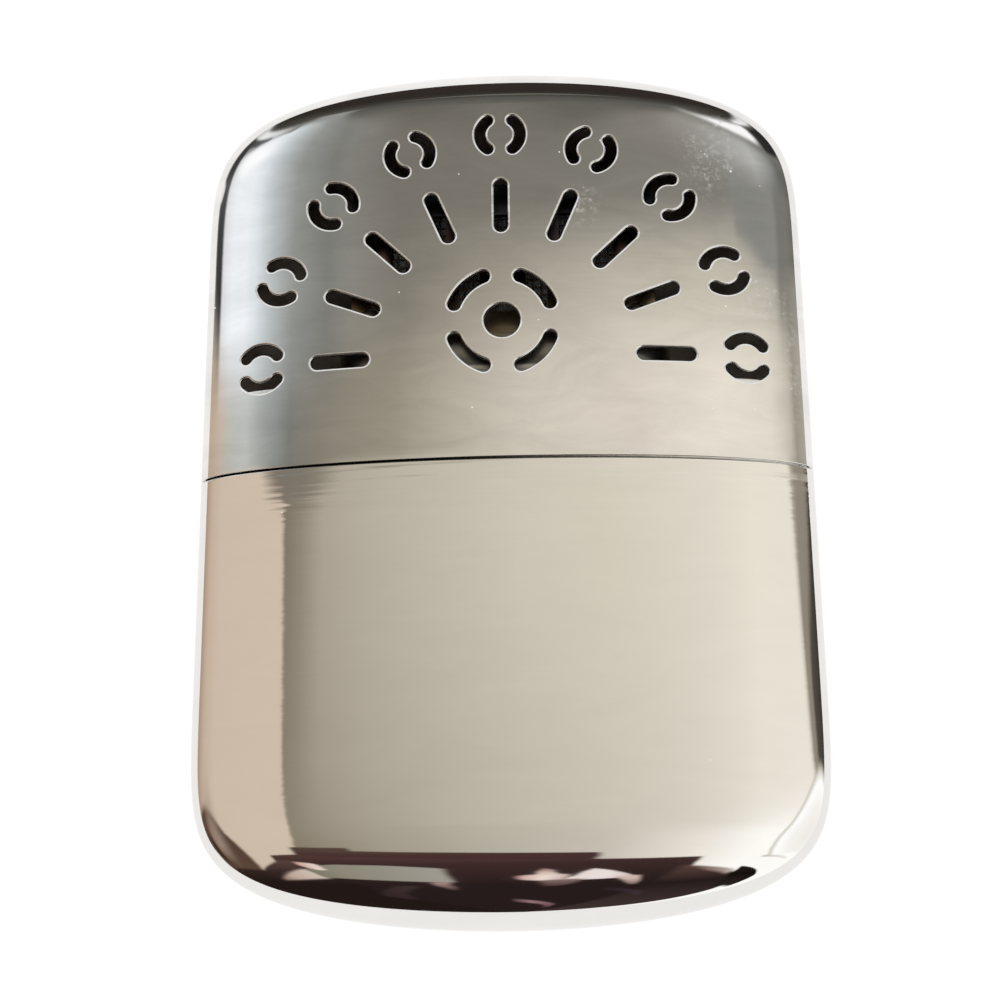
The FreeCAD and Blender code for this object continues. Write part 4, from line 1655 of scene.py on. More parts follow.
@dataclass(frozen=True)
class BrightPlate:
    """Polished nickel plate with combed polishing lines, wiped smudges and a little white dust.

    `rubbed` is how much stronger the lines are beside the seam; it fades along `rubbed_run`.  `scuffed` holds
    the middle of each scuffed patch and its half sizes across and along the body.  `seam_shade` is painted
    shade in the gap under the seam: the middle and half width along the body of a dark band, and how far
    across the body it reaches, fading over its last `seam_shade_fade`.  All of these are in metres.
    """

    name: str
    colour: Colour = (0.80, 0.78, 0.76)
    smudged: float = 0.05
    roughness: float = 0.03
    rougher: float = 0.06
    sideways: float = 0.022
    endways: float = 0.008
    dust: float = 0.003
    dust_colour: Colour = (0.86, 0.85, 0.83)
    dust_roughness: float = 0.5
    rubbed: float = 1.0
    rubbed_run: tuple[float, float] = (0.001, 0.012)
    scuffed: tuple[tuple[Point, tuple[float, float]], ...] = ()
    # Painted shade: a dark band in the gap under the seam between cap and tank, where shade falls.
    seam_shade: Optional[tuple[float, float, float]] = None
    seam_shade_fade: float = 0.036
    seam_shade_colour: Colour = (0.012, 0.010, 0.009)
    seam_shade_roughness: float = 0.9

    def material(self, effects: Effects) -> Material:
        """Make the material.

        Args:
            effects: The shared effects.

        Returns:
            The material.
        """
        finish = Finish(self.name)
        graph = finish.graph
        across, along = (graph.part(finish.place, axis) for axis in (0, 1))
        polish = finish.effect(effects.polish, Sideways=self.sideways, Endways=self.endways)
        graph.feed(graph.ease(graph.math("ABSOLUTE", along), *self.rubbed_run, self.rubbed, 1.0),
                   polish.inputs["Strength"])
        smudges = finish.effect(effects.smudges).outputs["Smudges"]
        specks = finish.effect(effects.specks, Scale=1500.0, Size=0.17, Share=self.dust).outputs["Specks"]
        if self.scuffed:
            specks = graph.math("MAXIMUM", specks, self.scuffs(finish, effects))
        dark, light = (tuple(part * (1 + way * self.smudged) for part in self.colour) for way in (-1, 1))
        colour = graph.mix(smudges, solid(dark), solid(light))
        colour = graph.mix(specks, colour, solid(self.dust_colour))
        rough = graph.ease(polish.outputs["Bands"], 0.0, 1.0, self.roughness, self.rougher, "LINEAR")
        rough = graph.math("ADD", rough, graph.times(specks, self.dust_roughness), clamp=True)
        # Painted shade in the gap under the seam: a dark, rough band along the body that fades out towards
        # +X.
        if self.seam_shade:
            middle, half, wiped = self.seam_shade
            away = graph.math("ABSOLUTE", graph.math("SUBTRACT", along, middle))
            seam_shade_mask = graph.times(graph.ease(away, half * 0.7, half, 1.0, 0.0),
                               graph.ease(across, wiped - self.seam_shade_fade, wiped, 1.0, 0.0))
            colour = graph.mix(seam_shade_mask, colour, solid(self.seam_shade_colour))
            rough = graph.math("MAXIMUM", rough, graph.times(seam_shade_mask, self.seam_shade_roughness))
        finish.set(Base_Color=colour, Metallic=graph.ease(specks, 0.0, 1.0, 1.0, 0.0, "LINEAR"),
                   Roughness=rough, Normal=polish.outputs["Normal"])
        return finish.material

    def scuffs(self, finish: Finish, effects: Effects) -> Socket:
        """Wispy scuffs and a few fine specks that thin out from the middle of each scuffed patch.

        Args:
            finish: The material in the making.
            effects: The shared effects.

        Returns:
            The marks, as a mask.
        """
        graph = finish.graph
        wisps = graph.cloud(finish.place, 1300.0, 4.0, roughness=0.75).outputs[0]
        uneven = graph.cloud(finish.place, 330.0, 1.0).outputs[0]
        fine = finish.effect(effects.specks, Scale=2600.0, Size=0.26, Share=0.12).outputs["Specks"]
        marks = graph.math("ADD", graph.ease(wisps, 0.46, 0.74, 0.0, 0.34), graph.times(fine, 0.3))
        near: object = 0.0
        for middle, (across, along) in self.scuffed:
            offset = graph.vector("SUBTRACT", finish.place, middle)
            offset = graph.vector("MULTIPLY", offset, (1 / across, 1 / along, 1 / across))
            away = graph.node("VectorMath", {0: offset}, operation="LENGTH").outputs["Value"]
            patch = graph.ease(graph.math("ADD", away, uneven), 0.75, 1.7, 1.0, 0.0)
            near = graph.math("MAXIMUM", near, patch)
        return graph.times(marks, near)


@dataclass(frozen=True)
class LipPlate:
    """Vent lip plate: painted highlight on the side towards the cap's end, painted shade on its other side.

    `highlight_metallic` is how metallic the painted highlight side is, `turned` how far the surface has
    turned where it is fully bright or dull, and `uneven` how far smudges move that.
    """

    name: str
    bright: Colour = (1.0, 0.99, 0.97)
    dull: Colour = (0.64, 0.63, 0.61)
    # Metallic level of the painted highlight side.
    highlight_metallic: float = 0.08
    roughness: float = 0.25
    turned: float = 0.35
    uneven: float = 0.3

    def material(self, effects: Effects) -> Material:
        """Make the material.

        Args:
            effects: The shared effects.

        Returns:
            The material.
        """
        finish = Finish(self.name)
        graph = finish.graph
        facing = graph.part(graph.node("TexCoord").outputs["Normal"], 1)
        smudges = finish.effect(effects.smudges, Scale=900.0).outputs["Smudges"]
        moved = graph.times(graph.math("SUBTRACT", smudges, 0.5), self.uneven)
        # Painted highlight on lips that face the cap's end, painted shade on those that face away.
        bright = graph.ease(graph.math("ADD", facing, moved), -self.turned, self.turned)
        finish.set(Base_Color=graph.mix(bright, solid(self.dull), solid(self.bright)),
                   Metallic=graph.ease(bright, 0.0, 1.0, 1.0, self.highlight_metallic, "LINEAR"),
                   Roughness=self.roughness)
        return finish.material


HEAT_TINTS = ((0.0, (1.0, 1.0, 1.0)), (0.3, (0.95, 0.80, 0.52)), (0.55, (0.62, 0.38, 0.26)),
              (0.75, (0.36, 0.30, 0.40)), (1.0, (0.32, 0.38, 0.46)))


@dataclass(frozen=True)
class DullMetal:
    """Sheet metal left as pressed: rougher, mottled, with stains and optional heat tint.

    `light_bands` holds levels of brightness at places along the body, in metres: painted highlight bands
    where a level is above 1 and painted shade bands where it is below 1.
    """

    name: str
    colour: Colour
    stain: Colour
    roughness: float
    heated: bool = False
    patches: float = 140.0
    # Painted highlight bands (levels above 1) and painted shade bands (below 1) along the body.
    light_bands: tuple[tuple[float, float], ...] = ()

    def material(self, effects: Effects) -> Material:
        """Make the material.

        Args:
            effects: The shared effects.

        Returns:
            The material.
        """
        finish = Finish(self.name)
        graph = finish.graph
        mottle = graph.cloud(finish.place, self.patches, 5.0, roughness=0.6).outputs[0]
        colour = graph.mix(graph.ease(mottle, 0.4, 0.72), solid(self.colour), solid(self.stain))
        if self.heated:
            shade = graph.ramp(finish.effect(effects.heat).outputs["Tint"], HEAT_TINTS)
            colour = graph.mix(1.0, colour, shade, blend="MULTIPLY")
        # Painted highlight and painted shade bands along the body.
        if self.light_bands:
            first, last = self.light_bands[0][0], self.light_bands[-1][0]
            run = graph.ease(graph.part(finish.place, 1), first, last, kind="LINEAR")
            stops = [((at - first) / (last - first), (level,) * 3) for at, level in self.light_bands]
            shade = graph.ramp(run, stops)
            colour = graph.mix(1.0, colour, shade, blend="MULTIPLY")
        polish = finish.effect(effects.polish, Length=300.0, Fineness=2200.0, Sideways=0.05, Endways=0.16)
        rough = graph.ease(mottle, 0.3, 0.75, self.roughness * 0.8, self.roughness * 1.3, "LINEAR")
        finish.set(Base_Color=colour, Metallic=1.0, Roughness=rough, Normal=polish.outputs["Normal"])
        return finish.material


@dataclass(frozen=True)
class FibreStuff:
    """Cotton, felt or the catalyst's fibre mat."""

    name: str
    colour: Colour
    deep: Colour
    scale: float
    relief: float
    sheen: float
    tangle: float = 0.6

    def material(self, effects: Effects) -> Material:
        """Make the material.

        Args:
            effects: The shared effects.

        Returns:
            The material.
        """
        finish = Finish(self.name)
        fibres = finish.effect(effects.fibres, Scale=self.scale, Tangle=self.tangle)
        colour = finish.graph.mix(fibres.outputs["Mottle"], solid(self.deep), solid(self.colour))
        rough = finish.graph.ease(fibres.outputs["Mottle"], 0.0, 1.0, 0.98, 0.86, "LINEAR")
        finish.set(Base_Color=colour, Roughness=rough, Sheen_Weight=self.sheen, Sheen_Roughness=0.5)
        finish.bump(fibres.outputs["Height"], self.relief)
        return finish.material


# ----- Studio -----


BEYOND = 400.0


def radiance(seen: Sequence[int]) -> Colour:
    """The light that a card gives off to look like a screen colour in bright plate.

    Args:
        seen: The screen colour: red, green and blue up to 255.

    Returns:
        The light.
    """
    found = []
    for level, reflected in zip(seen, BrightPlate.colour):
        share = level / 255
        linear = share / 12.92 if share <= 0.04045 else ((share + 0.055) / 1.055) ** 2.4
        found.append(linear / reflected)
    return tuple(found)


@dataclass(frozen=True)
class Card:
    """A wall, window or flag of the studio, placed by the directions in which the warmer sees it.

    A direction is two numbers: its turn round the warmer's long axis from straight up, in degrees, and its
    reach towards the cap's end, in hundredths.  `soft` is the width of the card's edge.  Each stop is a place
    on the card's axis and the screen colour (red, green and blue up to 255) that bright plate shows there.
    """

    name: str
    soft: float
    axis: Axis
    stops: tuple[tuple[float, int, int, int], ...]

    def mask(self, graph: Graph, turn: object, reach: object) -> tuple[object, object]:
        """How much of each direction the card covers, and the distance from its middle where it has one."""
        raise NotImplementedError

    def add_to(self, graph: Graph, turn: object, reach: object, below: object) -> Socket:
        """Lay the card over the studio so far.

        Args:
            graph: The world's graph.
            turn: The direction's turn.
            reach: The direction's reach.
            below: The colour of what is behind the card.

        Returns:
            The colour with the card over it.
        """
        mask, away = self.mask(graph, turn, reach)
        first, last = self.stops[0][0], self.stops[-1][0]
        if first == last:
            colour: object = solid(radiance(self.stops[0][1:]))
        else:
            value = {Axis.ACROSS: turn, Axis.ALONG: reach, Axis.OUTWARDS: away}[self.axis]
            share = graph.ease(value, first, last, kind="LINEAR")
            colour = graph.ramp(share, [((at - first) / (last - first), radiance(seen))
                                        for at, *seen in self.stops])
        LOG.info("card %s", self.name)
        return graph.mix(mask, below, colour)


@dataclass(frozen=True)
class Panel(Card):
    """A card with straight edges, whose corners go round it; an edge at BEYOND is out of sight."""

    corners: tuple[Plan, ...] = ()

    def mask(self, graph: Graph, turn: object, reach: object) -> tuple[object, object]:
        """See Card.

        Args:
            graph: The world's graph.
            turn: The direction's turn.
            reach: The direction's reach.

        Returns:
            The cover, and no distance.
        """
        pairs = list(zip(self.corners, self.corners[1:] + self.corners[:1]))
        way = math.copysign(1.0, sum(x0 * y1 - x1 * y0 for (x0, y0), (x1, y1) in pairs))
        mask: object = 1.0
        for (x0, y0), (x1, y1) in pairs:
            if any(abs(low) == BEYOND and low == high for low, high in ((x0, x1), (y0, y1))):
                continue
            scale = way / math.hypot(x1 - x0, y1 - y0) / self.soft
            across, along = (y0 - y1) * scale, (x1 - x0) * scale
            side: object = 0.5 - x0 * across - y0 * along
            for value, slope in ((turn, across), (reach, along)):
                if slope:
                    side = graph.node("Math", {0: value, 1: slope, 2: side}, operation="MULTIPLY_ADD",
                                      use_clamp=value is reach or not along).outputs[0]
            mask = side if mask == 1.0 else graph.times(mask, side)
        return mask if mask == 1.0 else graph.ease(mask, 0.0, 1.0), None


@dataclass(frozen=True)
class Disc(Card):
    """An oval card, by its middle and half sizes; its edge is soft by a share of them."""

    middle: Plan = (0.0, 0.0)
    half: Plan = (1.0, 1.0)

    def mask(self, graph: Graph, turn: object, reach: object) -> tuple[object, object]:
        """See Card.

        Args:
            graph: The world's graph.
            turn: The direction's turn.
            reach: The direction's reach.

        Returns:
            The cover and the distance.
        """
        parts = []
        for value, middle, half in zip((turn, reach), self.middle, self.half):
            share = graph.math("DIVIDE", graph.math("SUBTRACT", value, middle), half)
            parts.append(graph.math("POWER", graph.math("ABSOLUTE", share), 2.0))
        away = graph.math("SQRT", graph.math("ADD", *parts))
        return graph.ease(away, 1.0 - self.soft, 1.0, 1.0, 0.0), away


ACROSS, ALONG, OUTWARDS = Axis
TABLE_SHADES = ((-75, 38, 28, 27), (-45, 60, 42, 40))
SEAM_RUN = ((-80, 186, 166, 146), (-66, 192, 176, 160), (-57, 183, 181, 174), (-45, 184, 187, 183),
            (-39, 158, 161, 157), (-34, 137, 140, 137), (-31, 121, 121, 115), (-26, 131, 125, 113),
            (-14, 150, 144, 128), (0, 202, 194, 180), (14, 218, 209, 196), (28, 228, 221, 208),
            (44, 224, 217, 204), (60, 194, 187, 173), (68, 156, 149, 135), (90, 168, 162, 150))
ROOM_CARDS: tuple[Card, ...] = (
    Panel("ceiling", 1, ACROSS,
          ((-31, 128, 119, 104), (-28, 143, 134, 120), (-24, 171, 162, 147), (-13, 187, 179, 163),
           (0, 204, 197, 181), (10, 210, 204, 187), (22, 220, 213, 199), (35, 230, 224, 209),
           (50, 229, 223, 209)),
          ((-BEYOND, -BEYOND), (BEYOND, -BEYOND), (BEYOND, BEYOND), (-BEYOND, BEYOND))),
    Panel("ceiling_lower", 24, ACROSS,
          ((-31, 138, 128, 112), (-24, 155, 146, 131), (-13, 170, 162, 147), (-2, 185, 178, 163),
           (9, 200, 192, 178), (22, 215, 208, 195), (34, 230, 224, 211), (50, 234, 227, 216)),
          ((-BEYOND, -BEYOND), (BEYOND, -BEYOND), (BEYOND, 20), (-BEYOND, 20))),
    Panel("ceiling_low", 32, ACROSS,
          ((-31, 134, 124, 107), (-14, 165, 157, 141), (-3, 181, 175, 161), (9, 197, 189, 176),
           (23, 231, 224, 213), (33, 247, 244, 237), (40, 254, 251, 245)),
          ((-BEYOND, -BEYOND), (BEYOND, -BEYOND), (BEYOND, -2), (-BEYOND, -2))),
    Panel("right_shade", 9, ACROSS,
          ((54, 192, 184, 168), (62, 142, 134, 120), (76, 139, 130, 117), (88, 80, 74, 66)),
          ((67, 10), (59, 22), (53, 34), (53, BEYOND), (BEYOND, BEYOND), (BEYOND, 10))),
    Panel("right_dark", 5, ACROSS,
          ((66, 82, 77, 68), (90, 60, 56, 50)),
          ((75, 13), (BEYOND, 13), (BEYOND, 34), (92, 33), (68, 24))),
    Disc("right_white", 0.08, OUTWARDS,
         ((0, 238, 234, 228), (0.6, 246, 243, 238), (0.86, 255, 254, 252), (0.96, 188, 184, 168)),
         (78, -30), (32, 45)),
    Panel("right_low", 3, ACROSS,
          ((40, 253, 251, 246),),
          ((40, -52), (BEYOND, -63), (BEYOND, -BEYOND), (40, -BEYOND))),
    Panel("right_line", 3, ACROSS,
          ((50, 170, 160, 142), (58, 200, 191, 181), (76, 225, 220, 214)),
          ((48, -51), (77, -60), (77, -62), (48, -53))),
    Panel("warm_wall", 1.6, ACROSS,
          ((-95, 158, 137, 118), (-84, 176, 155, 136), (-74, 194, 175, 156), (-60, 203, 186, 167),
           (-34, 205, 188, 170)),
          ((-BEYOND, -BEYOND), (-31.4, -BEYOND), (-30.9, 5), (-30.3, 18), (-32.6, 36), (-BEYOND, 36))),
    Disc("left_shade", 0.14, ACROSS,
         ((-90, 92, 72, 58), (-50, 86, 65, 54)),
         (-77, -40), (26.5, 46)),
    Disc("left_glow", 0.9, ACROSS,
         ((-80, 146, 126, 110), (-60, 150, 132, 120)),
         (-71, -20), (13, 40)),
    Disc("left_dark", 0.9, ACROSS,
         ((0, 52, 38, 27),),
         (-82, -36), (6, 32)),
    Disc("left_white", 0.5, ACROSS,
         ((0, 212, 205, 195),),
         (-94, -42), (7, 18)),
)
TABLE_CARDS: tuple[Card, ...] = (
    Panel("table_a", 1.6, ALONG,
          (*TABLE_SHADES, (-30, 72, 50, 48), (-20, 84, 68, 58)),
          ((-33.5, -20.5), (-22, -19.5), (-22, -BEYOND), (-33.5, -BEYOND))),
    Panel("table_b", 1.6, ALONG,
          (*TABLE_SHADES, (-30, 72, 50, 48), (-24, 84, 66, 58)),
          ((-33, -25), (-22, -24), (9, -30), (9, -BEYOND), (-33, -BEYOND))),
    Panel("table_c", 1.6, ALONG,
          (*TABLE_SHADES, (-35, 76, 54, 50)),
          ((-42, -35), (-33, -31), (26.5, -43), (26.5, -BEYOND), (-41, -BEYOND))),
    Panel("table_f", 4, ALONG,
          ((-75, 34, 25, 22), (-62, 50, 37, 33)),
          ((-BEYOND, -60), (-30, -60), (-30, -BEYOND), (-BEYOND, -BEYOND))),
    Panel("table_d", 2.2, ALONG,
          ((-75, 34, 25, 22), (-62, 52, 38, 35), (-45, 82, 62, 56)),
          ((-60, -66), (-40, -41), (-36, -41), (-36, -BEYOND), (-60, -BEYOND))),
    Panel("table_e", 4, ALONG,
          ((-100, 60, 48, 46), (-80, 36, 27, 26), (-66, 70, 52, 48), (-56, 84, 62, 56)),
          ((24, -54), (50, -73), (78, -95), (84, -102), (84, -BEYOND), (24, -BEYOND))),
    Panel("table_g", 1.8, ALONG,
          ((-88, 40, 31, 29), (-76, 22, 16, 13), (-66, 34, 26, 22)),
          ((44.5, -64), (53, -68), (64, -74), (73, -79), (80, -89), (58, -88), (48, -77))),
    Panel("pane_warm", 4, ACROSS,
          ((-54, 120, 98, 88), (-46, 186, 162, 148), (-36, 204, 188, 176)),
          ((-36, -52), (-33, -66), (-42, -70), (-57, -73), (-46, -62))),
    Panel("pane_grey", 1.8, ACROSS,
          ((-34, 128, 122, 104), (-28, 140, 135, 119), (-20, 146, 142, 129), (-12, 158, 153, 143)),
          ((-35, -51), (-28, -45), (-18, -45.5), (-10.6, -50), (-11, -70.5), (-25, -67.5), (-35, -65))),
    Panel("pane_top", 1.8, ACROSS,
          ((-36, 196, 160, 146), (-32, 228, 208, 198)),
          ((-36.5, -42.5), (-31, -45), (-30.3, -54), (-32.6, -54.5), (-36.5, -47))),
    Panel("pane_right", 1.5, ACROSS,
          ((6, 228, 214, 206), (12, 232, 222, 218), (17, 206, 184, 178)),
          ((9, -53.5), (10.6, -55), (16, -64), (17.5, -67.5), (13, -69.5), (5.5, -69.5), (7, -62))),
    Panel("pane_left", 1.8, ACROSS,
          ((-1, 196, 160, 152), (2.6, 236, 218, 208), (5.5, 206, 184, 176)),
          ((-1.4, -62), (2.6, -60), (6, -61), (6, -69.5), (2.6, -70), (-1, -67.5))),
    Panel("pane_slit", 1.2, ALONG,
          ((-60, 222, 200, 188), (-53, 150, 122, 116)),
          ((2, -51.5), (3.6, -54), (4.6, -62), (1.4, -62))),
    Panel("pane_tail", 1.6, ALONG,
          ((-79, 120, 98, 94), (-70, 206, 182, 172)),
          ((13.6, -67), (18, -66), (21, -79), (19.4, -79))),
    Panel("fold_a", 1.8, ALONG,
          ((-81, 60, 42, 44), (-71, 162, 134, 128)),
          ((-15, -70), (-11.6, -70), (-12.4, -81), (-13.8, -81))),
    Panel("fold_b", 2.4, ALONG,
          ((-78, 70, 52, 52), (-69, 128, 106, 100)),
          ((2, -69), (9, -68), (7, -76), (3, -78))),
    Panel("fold_c", 1.2, ACROSS,
          ((-4, 70, 52, 56), (1, 150, 114, 118), (13, 96, 72, 76)),
          ((-4, -91.6), (13, -98), (13, -99.3), (-4, -94.6))),
    Panel("fold_e", 1.6, ACROSS,
          ((15, 44, 34, 38), (30, 62, 50, 56)),
          ((15, -81), (33, -91), (33, -92.6), (15, -84))),
    Panel("fold_d", 2.4, ACROSS,
          ((-36, 50, 36, 38), (-19, 62, 48, 48)),
          ((-36, -89), (-22, -75), (-17.5, -75), (-31, -92))),
    Panel("edge_streak", 4, ACROSS,
          ((28, 120, 98, 90), (40, 172, 152, 144), (45, 196, 182, 174)),
          ((27, -57.5), (45, -69), (45, -73.5), (30, -63))),
)
FAR_CARDS: tuple[Card, ...] = (
    Disc("seam_shadow", 0.6, ACROSS,
         ((-38, 122, 112, 100), (-28, 124, 117, 105), (-20, 146, 139, 124)),
         (-30, 32.8), (10, 2.3)),
    Panel("cap_base_left", 0.4, ACROSS, SEAM_RUN,
          ((-100, 31.9), (-45, 32.6), (1, 33.8), (1, BEYOND), (-100, BEYOND))),
    Panel("cap_base_right", 0.4, ACROSS, SEAM_RUN,
          ((-1, 33.8), (100, 31.6), (100, BEYOND), (-1, BEYOND))),
    Panel("cap_mid", 6, ACROSS,
          ((-30, 145, 146, 142), (-13, 127, 122, 112), (0, 166, 159, 145), (12, 191, 184, 170),
           (24, 194, 188, 172), (44, 182, 176, 163), (52, 174, 169, 157), (58, 118, 115, 105),
           (67, 130, 127, 119), (80, 142, 138, 130)),
          ((-BEYOND, 39), (BEYOND, 39), (BEYOND, BEYOND), (-BEYOND, BEYOND))),
    Panel("cap_grey", 5, ACROSS,
          ((-30, 142, 142, 138), (-14, 118, 114, 105), (12, 124, 121, 112), (30, 129, 126, 119),
           (48, 142, 141, 136), (62, 116, 115, 110), (90, 106, 104, 98)),
          ((-BEYOND, 43.5), (BEYOND, 43.5), (BEYOND, BEYOND), (-BEYOND, BEYOND))),
    Panel("cap_grey_right", 1.6, ACROSS,
          ((44, 132, 132, 126), (55, 135, 134, 129), (60, 118, 117, 111), (72, 120, 117, 111),
           (84, 112, 108, 102)),
          ((34, 43.5), (47, 41.4), (BEYOND, 40.6), (BEYOND, 48), (34, 48))),
    Panel("right_grey", 9, ACROSS,
          ((20, 128, 123, 116), (36, 164, 162, 157), (47, 178, 178, 175), (54, 158, 159, 156),
           (60, 140, 141, 138), (70, 106, 107, 102), (90, 90, 89, 83)),
          ((14, 52), (100, 50), (100, 59), (64, 62), (30, 72))),
    Panel("far_wall", 4, ALONG,
          ((50, 102, 99, 91), (62, 91, 89, 83), (76, 80, 78, 72), (85, 56, 51, 47),
           (100, 50, 42, 40)),
          ((-28, 62), (-10, 49.5), (8, 49.5), (32, 70), (32, BEYOND), (-28, BEYOND))),
    Panel("left_window", 5, ACROSS,
          ((-70, 220, 220, 222), (-58, 236, 239, 242), (-48, 234, 238, 241), (-43, 220, 226, 229),
           (-37, 184, 189, 190), (-31, 146, 148, 144), (-24, 124, 124, 118)),
          ((-72, 37), (-22, 37), (-22, 57), (-35, 69), (-48, 71.5), (-72, 68))),
    Disc("window_glare", 0.7, ACROSS,
         ((0, 255, 255, 255),),
         (-56, 62), (15, 9)),
    Panel("right_glare", 6, ACROSS,
          ((32, 200, 199, 196), (42, 246, 246, 245), (60, 254, 253, 253)),
          ((28, 71), (46, 66.5), (62, 66.5), (64, 80), (52, 77), (38, 73))),
    Panel("right_glare_tail", 3, ACROSS,
          ((60, 250, 250, 250), (88, 210, 210, 208)),
          ((56, 77), (66, 78), (94, 84), (94, 89), (72, 87))),
    Panel("right_blob", 4, ACROSS,
          ((66, 50, 48, 47), (84, 40, 38, 37)),
          ((65, 63), (86, 63), (90, 74), (85, 81), (66, 77))),
    Panel("top_wall", 3.5, ALONG,
          ((70, 84, 82, 76), (80, 62, 58, 53), (88, 46, 42, 38), (100, 50, 42, 40)),
          ((-120, 95), (-36, 71), (32, 71), (120, 98), (120, BEYOND), (-120, BEYOND))),
    Panel("left_column", 5, ALONG,
          ((40, 52, 52, 52), (55, 84, 84, 84), (62, 62, 62, 62), (76, 54, 54, 53)),
          ((-88, 40), (-73, 38), (-73, 78), (-88, 84))),
    Panel("left_edge", 5, ALONG,
          ((58, 150, 150, 150), (72, 206, 206, 205), (90, 170, 169, 166)),
          ((-BEYOND, 56), (-88, 56), (-88, 90), (-BEYOND, 90))),
    Disc("left_blob", 0.5, ACROSS,
         ((0, 216, 216, 216),),
         (-90, 53.5), (9, 5)),
    Panel("left_line", 1.6, ACROSS,
          ((-88, 190, 190, 188), (-68, 236, 236, 236), (-54, 214, 214, 216), (-44, 120, 119, 116)),
          ((-90, 86), (-42, 71.5), (-44, 69), (-90, 81))),
    Panel("top_line", 1.6, ACROSS,
          ((0, 118, 114, 107),),
          ((-30, 78), (0, 81), (28, 80.5), (28, 77.5), (0, 78), (-30, 75))),
    Panel("left_line_shadow", 1.6, ACROSS,
          ((-80, 58, 58, 57), (-66, 84, 84, 84), (-56, 112, 112, 116)),
          ((-84, 79.5), (-55, 72.5), (-55, 70.3), (-84, 74))),
)


@dataclass(frozen=True)
class Lamp:
    """A large soft round lamp, in metres and watts, that shines at the warmer and isn't mirrored in it."""

    name: str
    place: Point
    size: float
    power: float

    def hang(self) -> None:
        """Put the lamp in the scene."""
        data = bpy.data.lights.new(self.name, "AREA")
        data.shape, data.size, data.energy = "DISK", self.size, self.power
        lamp = add_object(self.name, data)
        lamp.location = self.place
        lamp.rotation_euler = (-Vector(self.place)).to_track_quat("-Z", "Y").to_euler()
        lamp.visible_glossy = False
        lamp.visible_camera = False


